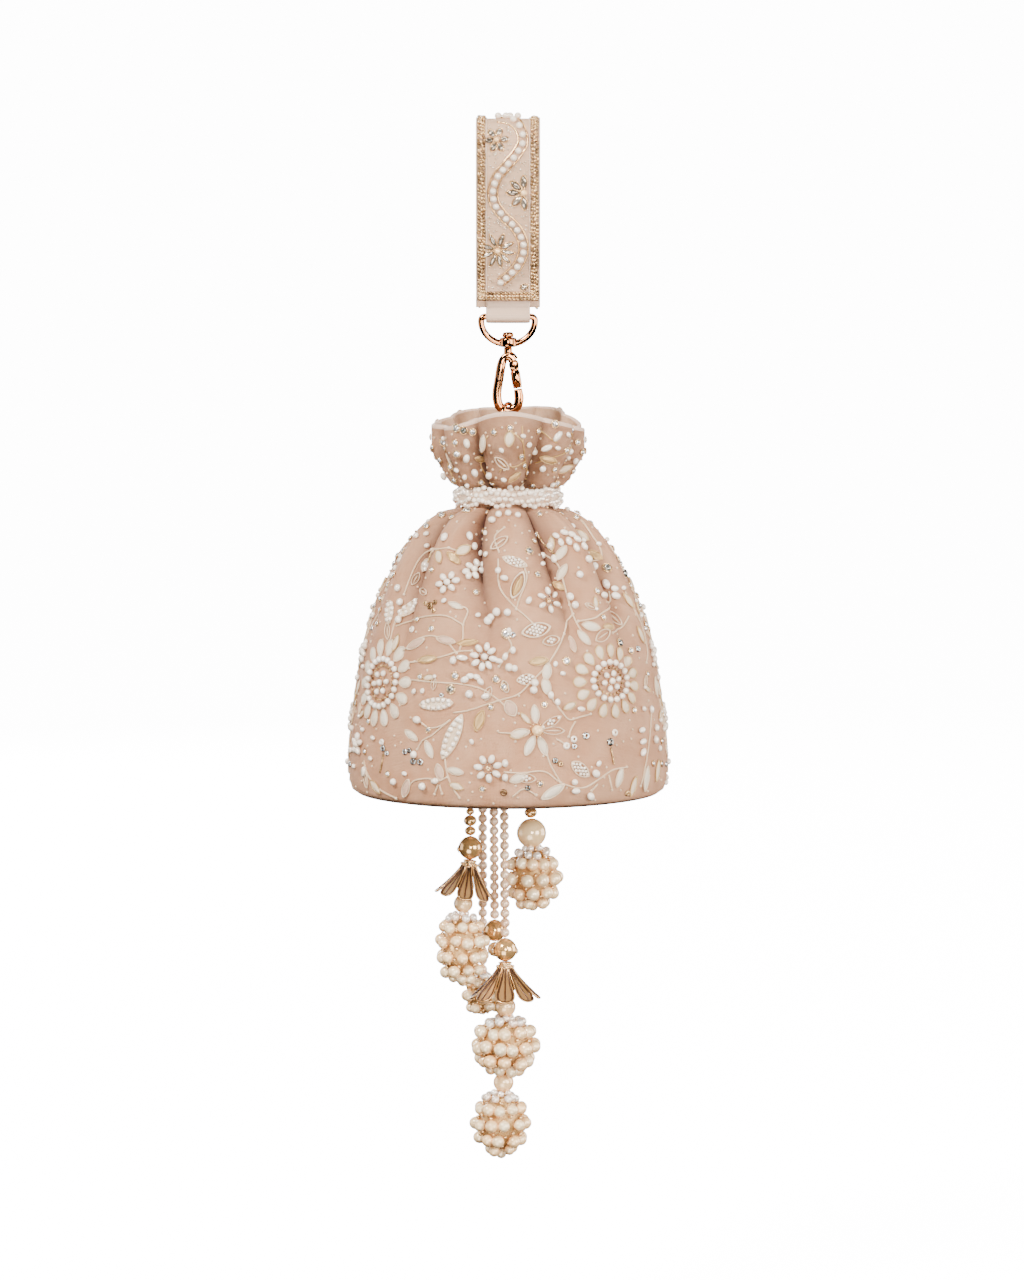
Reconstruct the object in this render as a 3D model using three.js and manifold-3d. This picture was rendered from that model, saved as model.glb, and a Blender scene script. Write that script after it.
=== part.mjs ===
// A potli: a gathered cloth pouch that hangs from a short wrist strap by a swivel snap hook,
// with strands of pearls under its base. Millimetres, +Z up. The origin is where the strap's
// loop hangs on a wrist or a peg: the inside of the loop's top. The front faces -Y.
import * as THREE from "three";
import { ConvexGeometry } from "three/addons/geometries/ConvexGeometry.js";
import { mergeVertices } from "three/addons/utils/BufferGeometryUtils.js";
import Module from "manifold-3d";

const wasm = await Module();
wasm.setup();

// Driving dimensions

const CLEARANCE = 0.3; // between pieces that touch

const STRAP_WIDTH = 32;
const STRAP_THICKNESS = 2.6;
const STRAP_LOOP_LENGTH = 88; // inside of the loop's top to the front panel's end
const STRAP_LOOP_DEPTH = 26; // widest gap between the panels
const STRAP_BACK_EXTRA = 3.5; // how much lower the back panel ends

const TAB_WIDTH = 22;
const TAB_THICKNESS = 1.4;
const TAB_OVERLAP = 9; // height of the tab sewn between the panels
const SEAM_GAP = 0.5; // between the tab and each panel
const TAB_DROP = 8; // front panel's end to the eye's bar

const EYE_WIRE = 3.2;
const EYE_WIDTH = 26.8; // between wire centres
const EYE_HEIGHT = 13.8; // bar centre to the bottom wire's centre
const EYE_CORNER = 2;
const BOSS_DIAMETER = 8.6;
const BOSS_HEIGHT = 4.6;
const BOSS_RISE = 1; // boss centre above the bottom wire's centre

const POST_DIAMETER = 3;
const RIVET_DIAMETER = 5.5;
const RIVET_HEIGHT = 2.5;
const HOOK_NECK_DIAMETER = 4.2;
const HOOK_NECK_HEIGHT = 2;

const HOOK_LENGTH = 29.8; // shoulder top to the bottom bar's centre
const HOOK_WIDTH = 11; // between the arms' centres at the widest
const HOOK_ARM_WIDTH = 4.6;
const HOOK_ARM_DEPTH = 4.4;
const GATE_PIVOT_DROP = 6.5; // shoulder top to the gate's pin
const GATE_PIVOT_SIDE = 2.9; // swivel axis to the gate's pin
const GATE_WIDTH = 5;
const GATE_LENGTH = 12; // pin to the gate's free end
const GATE_TONGUE = 1.8; // thickness of the gate's tongue between the ears
const GATE_PIN_DIAMETER = 1.4;

const RING_DIAMETER = 12; // hanger ring, between wire centres
const RING_WIRE = 2;
const RING_SEAT = 0.5; // the ring's wire above the hook's bottom bar, which curves up beside it
const RING_TURN = 62; // degrees between the ring's plane and the picture plane
const TAPE_WIDTH = 4;
const TAPE_THICKNESS = 1;
const TAPE_CREASE = 2; // the crease, counted from 0, that one end of the tape hangs by
const TAPE_GAP = 0.6; // between the tape's ends and the cloth
const TAPE_SEAT = 1.2; // the tape's middle above the ring's wire, which curves up beside it

const CLOTH_THICKNESS = 2.2;
const MOUTH_RADIUS = 39.2;
const NECK_RADIUS = 21.4;
const BASE_RADIUS = 79.6;
const COLLAR_HEIGHT = 40.6; // neck to the rim at the front
const RIM_DIP = 8; // how much lower the rim is at its sides
const BODY_HEIGHT = 146.5; // neck at its sides to the base's underside
const NECK_RISE = 3; // how much higher the neck is at its front
const RIM_DROP = 0.2; // hook's bottom bar down to the rim's front
const PLEAT_DEPTH = 12.5; // deepest crease, just under the neck
const BASE_THICKNESS = 2.6;

const ROPE_HEIGHT = 8;
const ROPE_THICKNESS = 4.4;
const ROPE_GAP = 0.85; // from the gathers' tops at the neck

const STRING_PEARL = 4.6; // diameter of the strings' small pearls
const BALL_STONE = 2.4; // diameter of the small stones set on the balls
const CAP_HEIGHT = 18.2;
const CAP_NECK_RADIUS = 3.6;
const CAP_PETALS = 8;
const CAP_SHEET = 0.9; // thickness of the petals' metal
const CAP_STEM = 1.6; // diameter of the pin down the cap's middle
const CAP_TUCK = 1; // how far the pearl under a cap sits up inside its petals

// Where the pouch's cloth goes, from the rim down. Heights are shares of the collar's height
// above the neck or, negative, of the body's height below it. Radii are shares of the size
// named in "of", and creases are shares of the deepest crease.
const POUCH_SECTIONS = [
  { height: 1.0, radius: 0.985, of: MOUTH_RADIUS, crease: 0.3 },
  { height: 0.7, radius: 0.985, of: MOUTH_RADIUS, crease: 0.46 },
  { height: 0.42, radius: 0.86, of: MOUTH_RADIUS, crease: 0.56 },
  { height: 0.2, radius: 0.735, of: MOUTH_RADIUS, crease: 0.56 },
  { height: 0.11, radius: 0.58, of: MOUTH_RADIUS, crease: 0.42 },
  { height: 0.0, radius: 1.0, of: NECK_RADIUS, crease: 0.36 },
  { height: -0.03, radius: 0.283, of: BASE_RADIUS, crease: 0.42 },
  { height: -0.05, radius: 0.42, of: BASE_RADIUS, crease: 0.8 },
  { height: -0.1, radius: 0.55, of: BASE_RADIUS, crease: 1.0 },
  { height: -0.17, radius: 0.65, of: BASE_RADIUS, crease: 0.92 },
  { height: -0.26, radius: 0.745, of: BASE_RADIUS, crease: 0.7 },
  { height: -0.36, radius: 0.835, of: BASE_RADIUS, crease: 0.4 },
  { height: -0.5, radius: 0.908, of: BASE_RADIUS, crease: 0.1 },
  { height: -0.7, radius: 0.965, of: BASE_RADIUS, crease: 0 },
  { height: -0.93, radius: 1.0, of: BASE_RADIUS, crease: 0 },
  { height: -1.0, radius: 0.95, of: BASE_RADIUS, crease: 0 },
];
const LINING_SKIPS = [1, 9, 12, 14]; // sections that the cloth's inner side runs straight past

// The creases between the gathers: their angle at the rim, at the neck and where they fade
// out, in degrees from the front towards +X, and how deep each is.
const CREASES = [
  { rim: -27, neck: -28, foot: -8, depth: 1.1 },
  { rim: 31, neck: 22, foot: 27, depth: 1.0 },
  { rim: 66, neck: 66, foot: 54, depth: 0.9 },
  { rim: 97, neck: 96, foot: 84, depth: 0.75 },
  { rim: 125, neck: 124, foot: 116, depth: 0.85 },
  { rim: 152, neck: 152, foot: 148, depth: 1.0 },
  { rim: 181, neck: 180, foot: 180, depth: 0.85 },
  { rim: 208, neck: 208, foot: 213, depth: 1.0 },
  { rim: 236, neck: 237, foot: 246, depth: 0.85 },
  { rim: 265, neck: 266, foot: 279, depth: 0.75 },
  { rim: 294, neck: 296, foot: 312, depth: 0.95 },
];
const CREASE_SAMPLES = [0, 0.2, 0.5, 0.8]; // columns between one crease and the next
const CREASE_FADE = 0.4; // share of the body's height where the creases reach their foot

// Rows of pearls on a cluster, from its top: tilt is degrees above the middle and size the
// pearl's share. Each row holds as many as fit.
const ROUND_ROWS = [
  { tilt: 60, size: 0.7 },
  { tilt: 24, size: 1 },
  { tilt: -16, size: 1 },
  { tilt: -57, size: 0.95 },
];
const SMALL_ROWS = [
  { tilt: 56, size: 0.8 },
  { tilt: 8, size: 1 },
  { tilt: -44, size: 1 },
];
const LONG_ROWS = [
  { tilt: 62, size: 0.7 },
  { tilt: 33, size: 1 },
  { tilt: 2, size: 1 },
  { tilt: -30, size: 1 },
  { tilt: -63, size: 1 },
];
const CLUSTER_SIZES = {
  long: { width: 28.6, height: 34.4, pearl: 6.4 },
  large: { width: 36, height: 29, pearl: 7.2 },
  end: { width: 31.5, height: 31, pearl: 6.8 },
  small: { width: 23, height: 21, pearl: 6.4 },
  round: { width: 31, height: 30, pearl: 7 },
};
const PEARL_PITCH = 1.36; // pearl to pearl along a row, in diameters

// The strands under the base, each from its hole in the base downwards. side and depth place
// the hole, lean is the slant in degrees, and tuck draws a piece up into the one above.
const STRANDS = [
  {
    name: "left", side: -18.9, depth: -10, lean: 0,
    pieces: [
      { kind: "beads", label: "top_pearls", sizes: [4.4, 4.2, 4.2, 6.5, 5.5] },
      { kind: "ball", label: "ball", size: 11.7 },
      { kind: "cap", label: "petal_cap", radius: 14.6, lean: -9 },
      { kind: "pearl", label: "cap_pearl", size: 9.6, lean: -9, tuck: CAP_TUCK },
      { kind: "cluster", label: "cluster", size: CLUSTER_SIZES.long, rows: LONG_ROWS, tuck: 0.8 },
    ],
  },
  {
    name: "front", side: -2, depth: -6, lean: 0.4,
    pieces: [
      { kind: "string", label: "string", length: 73.4 },
      { kind: "ball", label: "ball", size: 11.7 },
      { kind: "cap", label: "petal_cap", radius: 17.2, lean: 0 },
      { kind: "pearl", label: "cap_pearl", size: 10.5, lean: 0, tuck: CAP_TUCK },
      { kind: "cluster", label: "cluster", size: CLUSTER_SIZES.large, rows: ROUND_ROWS, tuck: 1.1 },
      { kind: "pearl", label: "link_pearl", size: 10.2, lean: -16, tuck: 1.3 },
      { kind: "cluster", label: "end_cluster", size: CLUSTER_SIZES.end, rows: ROUND_ROWS, tuck: 0.9 },
    ],
  },
  {
    name: "back", side: -7.2, depth: 8, lean: 0.4,
    pieces: [
      { kind: "string", label: "string", length: 66 },
      { kind: "ball", label: "ball", size: 11 },
      { kind: "pearl", label: "end_pearl", size: 7.4 },
    ],
  },
  {
    name: "mid", side: -12.8, depth: 22, lean: 0,
    pieces: [
      { kind: "string", label: "string", length: 96 },
      { kind: "cluster", label: "cluster", size: CLUSTER_SIZES.small, rows: SMALL_ROWS, tuck: 0.9 },
    ],
  },
  {
    name: "right", side: 11, depth: 6, lean: 2,
    pieces: [
      { kind: "beads", label: "top_pearls", sizes: [5.2, 5.2, 6.4] },
      { kind: "pearl", label: "pearl", size: 14.8 },
      { kind: "cluster", label: "cluster", size: CLUSTER_SIZES.round, rows: ROUND_ROWS, tuck: 0.9 },
    ],
  },
];

const CLOTH = new THREE.MeshStandardMaterial({ color: 0xcbaa9c, roughness: 0.85, metalness: 0 });
const STRAP_CLOTH = new THREE.MeshStandardMaterial({ color: 0xdcc3a6, roughness: 0.8, metalness: 0 });
const SATIN = new THREE.MeshStandardMaterial({ color: 0xe6cdb9, roughness: 0.5, metalness: 0 });
const ROSE_GOLD = new THREE.MeshStandardMaterial({ color: 0xd9935c, roughness: 0.15, metalness: 1 });
const PALE_GOLD = new THREE.MeshStandardMaterial({ color: 0xd8b27a, roughness: 0.25, metalness: 1 });
const WHITE_BEAD = new THREE.MeshStandardMaterial({ color: 0xf2ebe0, roughness: 0.35, metalness: 0 });
const CREAM_PEARL = new THREE.MeshStandardMaterial({ color: 0xf6dfbf, roughness: 0.2, metalness: 0 });
const GOLD_PEARL = new THREE.MeshStandardMaterial({ color: 0xdcae70, roughness: 0.2, metalness: 0.1 });

// Heights that follow from the driving dimensions

const BAR_Z = -(STRAP_LOOP_LENGTH + TAB_DROP);
const EYE_BOTTOM_Z = BAR_Z - EYE_HEIGHT;
const BOSS_Z = EYE_BOTTOM_Z + BOSS_RISE;
const BOSS_TOP_Z = BOSS_Z + BOSS_HEIGHT / 2;
const BOSS_FOOT_Z = BOSS_Z - BOSS_HEIGHT / 2;
const HOOK_TOP_Z = BOSS_FOOT_Z - CLEARANCE - HOOK_NECK_HEIGHT;
const HOOK_BOTTOM_Z = HOOK_TOP_Z - HOOK_LENGTH;
const GATE_PIVOT = new THREE.Vector3(GATE_PIVOT_SIDE, 0, HOOK_TOP_Z - GATE_PIVOT_DROP);
const RING_TOP_Z = HOOK_BOTTOM_Z + HOOK_ARM_WIDTH / 2 + RING_SEAT + RING_WIRE / 2;
const RING_Z = RING_TOP_Z - RING_DIAMETER / 2;
const RIM_Z = HOOK_BOTTOM_Z - RIM_DROP;
const NECK_Z = RIM_Z - COLLAR_HEIGHT - NECK_RISE;
const BASE_Z = NECK_Z - BODY_HEIGHT;

const rad = THREE.MathUtils.degToRad;
const lerp = THREE.MathUtils.lerp;
const UP = new THREE.Vector3(0, 0, 1);

// Solids and meshes

function solidOf(geometry) {
  const bare = geometry.index ? geometry.toNonIndexed() : geometry.clone();
  bare.deleteAttribute("normal");
  bare.deleteAttribute("uv");
  const merged = mergeVertices(bare, 1e-4);
  return new wasm.Manifold(
    new wasm.Mesh({
      numProp: 3,
      vertProperties: merged.attributes.position.array,
      triVerts: new Uint32Array(merged.index.array),
    }),
  );
}

function geometryOf(solid) {
  const mesh = solid.getMesh();
  const geometry = new THREE.BufferGeometry();
  geometry.setAttribute("position", new THREE.BufferAttribute(new Float32Array(mesh.vertProperties), 3));
  geometry.setIndex(new THREE.BufferAttribute(mesh.triVerts, 1));
  geometry.computeVertexNormals();
  return geometry;
}

function named(name, geometry, material) {
  const mesh = new THREE.Mesh(geometry, material);
  mesh.name = name;
  return mesh;
}

// A skin through rings of points. Each ring runs round the same way, and the rings follow each
// other. An open skin is capped by a fan at each end.
function skin(rings, closed = false) {
  const size = rings[0].length;
  const positions = rings.flat().flatMap((p) => [p.x, p.y, p.z]);
  const index = [];
  const spans = closed ? rings.length : rings.length - 1;
  for (let i = 0; i < spans; i++) {
    for (let j = 0; j < size; j++) {
      const next = (j + 1) % size;
      const a = i * size + j;
      const b = i * size + next;
      const c = ((i + 1) % rings.length) * size + j;
      const d = ((i + 1) % rings.length) * size + next;
      index.push(a, b, d, a, d, c);
    }
  }
  if (!closed) {
    const last = (rings.length - 1) * size;
    for (let j = 1; j < size - 1; j++) {
      index.push(0, j + 1, j);
      index.push(last, last + j, last + j + 1);
    }
  }
  const geometry = new THREE.BufferGeometry();
  geometry.setAttribute("position", new THREE.Float32BufferAttribute(positions, 3));
  geometry.setIndex(index);
  return geometry;
}

// Rings for a bar that follows a path in an upright plane. across is the bar's width in that
// plane and deep its width along Y.
function barRings(path, across, deep, sides, closed = false) {
  return path.map((p, i) => {
    const before = path[closed ? (i + path.length - 1) % path.length : Math.max(i - 1, 0)];
    const after = path[closed ? (i + 1) % path.length : Math.min(i + 1, path.length - 1)];
    const along = new THREE.Vector3().subVectors(after, before).normalize();
    const side = new THREE.Vector3(along.z, 0, -along.x);
    return Array.from({ length: sides }, (_, k) => {
      const turn = ((k + 0.5) / sides) * Math.PI * 2;
      return p
        .clone()
        .addScaledVector(side, (Math.cos(turn) * across) / 2)
        .add(new THREE.Vector3(0, (Math.sin(turn) * deep) / 2, 0));
    });
  });
}

function roundBead(diameter, sides, bands) {
  const points = [];
  for (let i = 0; i <= bands; i++) {
    const turn = (i / bands) * Math.PI - Math.PI / 2;
    const radius = i === 0 || i === bands ? 0 : (Math.cos(turn) * diameter) / 2;
    points.push(new THREE.Vector2(radius, (Math.sin(turn) * diameter) / 2));
  }
  return new THREE.LatheGeometry(points, sides).rotateX(Math.PI / 2);
}

function rod(diameter, length, sides = 10) {
  return new THREE.CylinderGeometry(diameter / 2, diameter / 2, length, sides);
}

// The wrist strap: two panels in one loop, sewn over a tab that holds the swivel eye

function strapBand() {
  const half = STRAP_THICKNESS / 2;
  const foot = TAB_THICKNESS + SEAM_GAP + half;
  const top = STRAP_LOOP_DEPTH / 2 + half;
  const side = (sign, end) => [
    new THREE.Vector3(0, sign * foot, -end),
    new THREE.Vector3(0, sign * foot, -end + TAB_OVERLAP),
    new THREE.Vector3(0, sign * lerp(foot, top, 0.5), -STRAP_LOOP_LENGTH * 0.66),
    new THREE.Vector3(0, sign * top * 0.93, -STRAP_LOOP_LENGTH * 0.36),
    new THREE.Vector3(0, sign * top, -STRAP_LOOP_DEPTH * 0.55),
    new THREE.Vector3(0, sign * top * 0.72, -STRAP_LOOP_DEPTH * 0.12),
  ];
  const route = new THREE.CatmullRomCurve3(
    [
      ...side(-1, STRAP_LOOP_LENGTH),
      new THREE.Vector3(0, 0, half),
      ...side(1, STRAP_LOOP_LENGTH + STRAP_BACK_EXTRA).reverse(),
    ],
    false,
    "centripetal",
  );
  const steps = 30;
  const outside = [];
  const inside = [];
  for (let i = 0; i <= steps; i++) {
    const p = route.getPointAt(i / steps);
    const along = route.getTangentAt(i / steps);
    outside.push(new THREE.Vector2(p.y - along.z * half, p.z + along.y * half));
    inside.push(new THREE.Vector2(p.y + along.z * half, p.z - along.y * half));
  }
  const outline = new THREE.Shape([...outside, ...inside.reverse()]);
  const band = new THREE.ExtrudeGeometry(outline, { depth: STRAP_WIDTH, bevelEnabled: false });
  band.applyMatrix4(new THREE.Matrix4().set(0, 0, 1, -STRAP_WIDTH / 2, 1, 0, 0, 0, 0, 1, 0, 0, 0, 0, 0, 1));
  return named("strap_band", band, STRAP_CLOTH);
}

function strapTab() {
  const barSeat = EYE_WIRE / 2 + CLEARANCE;
  const round = barSeat + TAB_THICKNESS;
  const top = -STRAP_LOOP_LENGTH + TAB_OVERLAP;
  const start = Math.acos(TAB_THICKNESS / round);
  const outline = new THREE.Shape();
  outline.moveTo(TAB_THICKNESS, top);
  outline.lineTo(-TAB_THICKNESS, top);
  outline.lineTo(-TAB_THICKNESS, BAR_Z + round * Math.sin(start));
  outline.absarc(0, BAR_Z, round, Math.PI - start, Math.PI * 2 + start, false);
  outline.closePath();
  const hole = new THREE.Path();
  hole.absarc(0, BAR_Z, barSeat, 0, Math.PI * 2, true);
  outline.holes.push(hole);
  const tab = new THREE.ExtrudeGeometry(outline, { depth: TAB_WIDTH, bevelEnabled: false, curveSegments: 8 });
  tab.applyMatrix4(new THREE.Matrix4().set(0, 0, 1, -TAB_WIDTH / 2, 1, 0, 0, 0, 0, 1, 0, 0, 0, 0, 0, 1));
  return named("strap_tab", tab, SATIN);
}

// The swivel: a D-shaped eye with a boss that the hook's post turns in

function swivelEye() {
  const halfWidth = EYE_WIDTH / 2;
  const bowTop = BAR_Z - EYE_CORNER;
  const path = [];
  const corners = 2;
  for (let i = 0; i <= corners; i++) {
    const turn = (i / corners) * (Math.PI / 2);
    path.push(
      new THREE.Vector3(
        halfWidth - EYE_CORNER + EYE_CORNER * Math.sin(turn),
        0,
        bowTop + EYE_CORNER * Math.cos(turn),
      ),
    );
  }
  const bow = 12;
  const drop = EYE_HEIGHT - EYE_CORNER;
  for (let i = 1; i < bow; i++) {
    const turn = (i / bow) * Math.PI;
    path.push(new THREE.Vector3(halfWidth * Math.cos(turn), 0, bowTop - drop * Math.sin(turn)));
  }
  for (let i = corners; i >= 0; i--) {
    const turn = (i / corners) * (Math.PI / 2);
    path.push(
      new THREE.Vector3(
        -(halfWidth - EYE_CORNER + EYE_CORNER * Math.sin(turn)),
        0,
        bowTop + EYE_CORNER * Math.cos(turn),
      ),
    );
  }
  const wire = solidOf(skin(barRings(path, EYE_WIRE, EYE_WIRE, 8, true)));
  const chamfer = 0.7;
  const boss = new THREE.LatheGeometry(
    [
      new THREE.Vector2(0, -BOSS_HEIGHT / 2),
      new THREE.Vector2(BOSS_DIAMETER / 2 - chamfer, -BOSS_HEIGHT / 2),
      new THREE.Vector2(BOSS_DIAMETER / 2, -BOSS_HEIGHT / 2 + chamfer),
      new THREE.Vector2(BOSS_DIAMETER / 2, BOSS_HEIGHT / 2 - chamfer),
      new THREE.Vector2(BOSS_DIAMETER / 2 - chamfer, BOSS_HEIGHT / 2),
      new THREE.Vector2(0, BOSS_HEIGHT / 2),
    ],
    12,
  );
  boss.rotateX(Math.PI / 2).translate(0, 0, BOSS_Z);
  const bore = rod(POST_DIAMETER + 2 * CLEARANCE, BOSS_HEIGHT * 3);
  bore.rotateX(Math.PI / 2).translate(0, 0, BOSS_Z);
  return named("swivel_eye", geometryOf(wire.add(solidOf(boss)).subtract(solidOf(bore))), ROSE_GOLD);
}

// The hook's outline: down the plain arm, round the bottom and up to the nose

function hookPath() {
  const reach = HOOK_WIDTH / 2;
  const nose = GATE_PIVOT_DROP + GATE_LENGTH + CLEARANCE;
  return new THREE.CatmullRomCurve3([
    new THREE.Vector3(0, 0, HOOK_TOP_Z - HOOK_ARM_WIDTH * 0.45),
    new THREE.Vector3(-reach * 0.42, 0, HOOK_TOP_Z - HOOK_LENGTH * 0.13),
    new THREE.Vector3(-reach * 0.8, 0, HOOK_TOP_Z - HOOK_LENGTH * 0.45),
    new THREE.Vector3(-reach, 0, HOOK_TOP_Z - HOOK_LENGTH * 0.76),
    new THREE.Vector3(-reach * 0.72, 0, HOOK_TOP_Z - HOOK_LENGTH * 0.93),
    new THREE.Vector3(0, 0, HOOK_BOTTOM_Z),
    new THREE.Vector3(reach * 0.78, 0, HOOK_TOP_Z - HOOK_LENGTH * 0.93),
    new THREE.Vector3(reach, 0, HOOK_TOP_Z - HOOK_LENGTH * 0.8),
    new THREE.Vector3(reach * 0.9, 0, HOOK_TOP_Z - nose),
  ]);
}

function snapHook() {
  const body = solidOf(skin(barRings(hookPath().getPoints(16), HOOK_ARM_WIDTH, HOOK_ARM_DEPTH, 8)));
  const ear = GATE_WIDTH / 2 + CLEARANCE;
  const shoulder = [
    new THREE.Vector3(0, 0, HOOK_TOP_Z - HOOK_ARM_WIDTH * 0.45),
    new THREE.Vector3(GATE_PIVOT_SIDE * 0.6, 0, HOOK_TOP_Z - GATE_PIVOT_DROP * 0.45),
    GATE_PIVOT.clone(),
  ];
  const stub = solidOf(skin(barRings(shoulder, GATE_WIDTH, HOOK_ARM_DEPTH, 8)));
  const atPivot = (diameter, length) => solidOf(rod(diameter, length).translate(...GATE_PIVOT.toArray()));
  const slot = atPivot(2 * ear, GATE_TONGUE + 2 * CLEARANCE);
  const ears = atPivot(GATE_WIDTH, HOOK_ARM_DEPTH * 0.96);
  const pin = atPivot(GATE_PIN_DIAMETER, HOOK_ARM_DEPTH * 0.9);
  const profile = [
    new THREE.Vector2(0, HOOK_TOP_Z - HOOK_NECK_HEIGHT),
    new THREE.Vector2(HOOK_NECK_DIAMETER / 2, HOOK_TOP_Z - HOOK_NECK_HEIGHT),
    new THREE.Vector2(HOOK_NECK_DIAMETER / 2, BOSS_FOOT_Z - CLEARANCE),
    new THREE.Vector2(POST_DIAMETER / 2, BOSS_FOOT_Z - CLEARANCE),
    new THREE.Vector2(POST_DIAMETER / 2, BOSS_TOP_Z + CLEARANCE),
    new THREE.Vector2(RIVET_DIAMETER / 2, BOSS_TOP_Z + CLEARANCE),
    new THREE.Vector2(RIVET_DIAMETER / 2, BOSS_TOP_Z + CLEARANCE + RIVET_HEIGHT * 0.7),
    new THREE.Vector2(RIVET_DIAMETER * 0.36, BOSS_TOP_Z + CLEARANCE + RIVET_HEIGHT),
    new THREE.Vector2(0, BOSS_TOP_Z + CLEARANCE + RIVET_HEIGHT),
  ];
  const post = solidOf(new THREE.LatheGeometry(profile, 10).rotateX(Math.PI / 2));
  const hook = body.add(stub).add(ears).subtract(slot).add(pin).add(post);
  return named("snap_hook", geometryOf(hook), ROSE_GOLD);
}

function hookGate() {
  const nose = hookPath().getPointAt(1);
  const toNose = new THREE.Vector3().subVectors(nose, GATE_PIVOT).normalize();
  const end = GATE_PIVOT.clone().addScaledVector(toNose, GATE_LENGTH - 0.2);
  const bar = solidOf(skin(barRings([GATE_PIVOT.clone(), end], GATE_WIDTH, GATE_WIDTH, 8)));
  const atPivot = (diameter, length, depth = 0) =>
    solidOf(rod(diameter, length).translate(GATE_PIVOT.x, depth, GATE_PIVOT.z));
  const cheek = HOOK_ARM_DEPTH;
  const offset = GATE_TONGUE / 2 + cheek / 2;
  const cheekDiameter = GATE_WIDTH + 2 * CLEARANCE;
  const knuckle = atPivot(GATE_WIDTH, GATE_TONGUE);
  const gate = bar
    .add(knuckle)
    .subtract(atPivot(cheekDiameter, cheek, offset))
    .subtract(atPivot(cheekDiameter, cheek, -offset))
    .subtract(atPivot(GATE_PIN_DIAMETER + 2 * CLEARANCE, GATE_TONGUE * 3));
  return named("hook_gate", geometryOf(gate), ROSE_GOLD);
}

// The ring in the hook, and the tape that carries the pouch from it

function hangerRing() {
  const ring = new THREE.TorusGeometry(RING_DIAMETER / 2, RING_WIRE / 2, 6, 20);
  const mesh = named("hanger_ring", ring.rotateX(Math.PI / 2), ROSE_GOLD);
  mesh.rotation.z = rad(RING_TURN);
  mesh.position.z = RING_Z;
  return mesh;
}

function hangerTape() {
  const half = TAPE_THICKNESS / 2;
  const saddle = RING_Z - RING_DIAMETER / 2 + RING_WIRE / 2 + TAPE_SEAT + half;
  const bend = RING_WIRE / 2 + 2 * CLEARANCE + half;
  const neckRow = POUCH_SECTIONS.findIndex((section) => section.height === 0);
  const seam = innerPoint(TAPE_CREASE, neckRow);
  const wall = Math.hypot(seam.x, seam.y) - TAPE_GAP - half;
  const path = new THREE.CatmullRomCurve3([
    new THREE.Vector3(-wall, 0, NECK_Z),
    new THREE.Vector3(-wall * 0.55, 0, lerp(NECK_Z, saddle, 0.5)),
    new THREE.Vector3(-bend, 0, saddle - bend * 1.2),
    new THREE.Vector3(0, 0, saddle),
    new THREE.Vector3(bend, 0, saddle - bend * 1.2),
    new THREE.Vector3(wall * 0.55, 0, lerp(NECK_Z, saddle, 0.5)),
    new THREE.Vector3(wall, 0, NECK_Z),
  ]).getPoints(18);
  const root2 = Math.SQRT2;
  const tape = skin(barRings(path, TAPE_THICKNESS * root2, TAPE_WIDTH * root2, 4));
  const mesh = named("hanger_tape", tape, SATIN);
  mesh.rotation.z = rad(RING_TURN - 90);
  return mesh;
}

// The pouch: one gathered cloth from the rim through the neck to the base

// A column of the cloth counts in gathers: 2.5 is the top of the gather between the third
// crease and the fourth. Returns its angle at a section, from the front (-Y) towards +X, and
// the share of the deepest crease that it lies in by.
function columnAt(column, section) {
  const count = CREASES.length;
  const before = Math.floor(column);
  const share = column - before;
  const angleOf = (index) => {
    const lap = Math.floor(index / count);
    const { rim, neck, foot } = CREASES[index - lap * count];
    const turn = section.height >= 0 ? lerp(neck, rim, section.height) : lerp(neck, foot, footShare(section));
    return rad(turn + 360 * lap);
  };
  const depthOf = (index) => CREASES[THREE.MathUtils.euclideanModulo(index, count)].depth;
  const gather = Math.pow(Math.sin(Math.PI * share), 0.75);
  return {
    angle: lerp(angleOf(before), angleOf(before + 1), share),
    crease: section.crease * lerp(depthOf(before), depthOf(before + 1), share) * (1 - gather),
  };
}

function footShare(section) {
  return Math.min(1, -section.height / CREASE_FADE);
}

function rimHeight(angle) {
  return RIM_Z - RIM_DIP * Math.pow(Math.sin(angle), 2);
}

function neckHeight(angle) {
  return NECK_Z + NECK_RISE * Math.pow((1 + Math.cos(angle)) / 2, 2);
}

function outerPoint(column, row) {
  const section = POUCH_SECTIONS[row];
  const { angle, crease } = columnAt(column, section);
  const neck = neckHeight(angle);
  const end = section.height >= 0 ? rimHeight(angle) : BASE_Z;
  const r = section.radius * section.of - crease * PLEAT_DEPTH;
  const z = lerp(neck, end, Math.abs(section.height));
  return new THREE.Vector3(r * Math.sin(angle), -r * Math.cos(angle), z);
}

function innerPoint(column, row) {
  const step = 0.08;
  const last = POUCH_SECTIONS.length - 1;
  const here = outerPoint(column, row);
  const round = outerPoint(column + step, row).sub(outerPoint(column - step, row));
  const down = outerPoint(column, Math.min(row + 1, last)).sub(outerPoint(column, Math.max(row - 1, 0)));
  const inwards = row === last ? new THREE.Vector3(0, 0, 1) : round.cross(down).normalize();
  return here.addScaledVector(inwards, CLOTH_THICKNESS);
}

function clothColumns() {
  return CREASES.flatMap((_, i) => CREASE_SAMPLES.map((share) => i + share));
}

function pouchCloth() {
  const columns = clothColumns();
  const rows = POUCH_SECTIONS.map((_, row) => row);
  const outside = rows.map((row) => columns.map((column) => outerPoint(column, row)));
  const kept = rows.filter((row) => !LINING_SKIPS.includes(row));
  const inside = kept.map((row) => columns.map((column) => innerPoint(column, row)));
  return named("pouch_cloth", skin([...inside, ...outside.reverse()], true), CLOTH);
}

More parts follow.
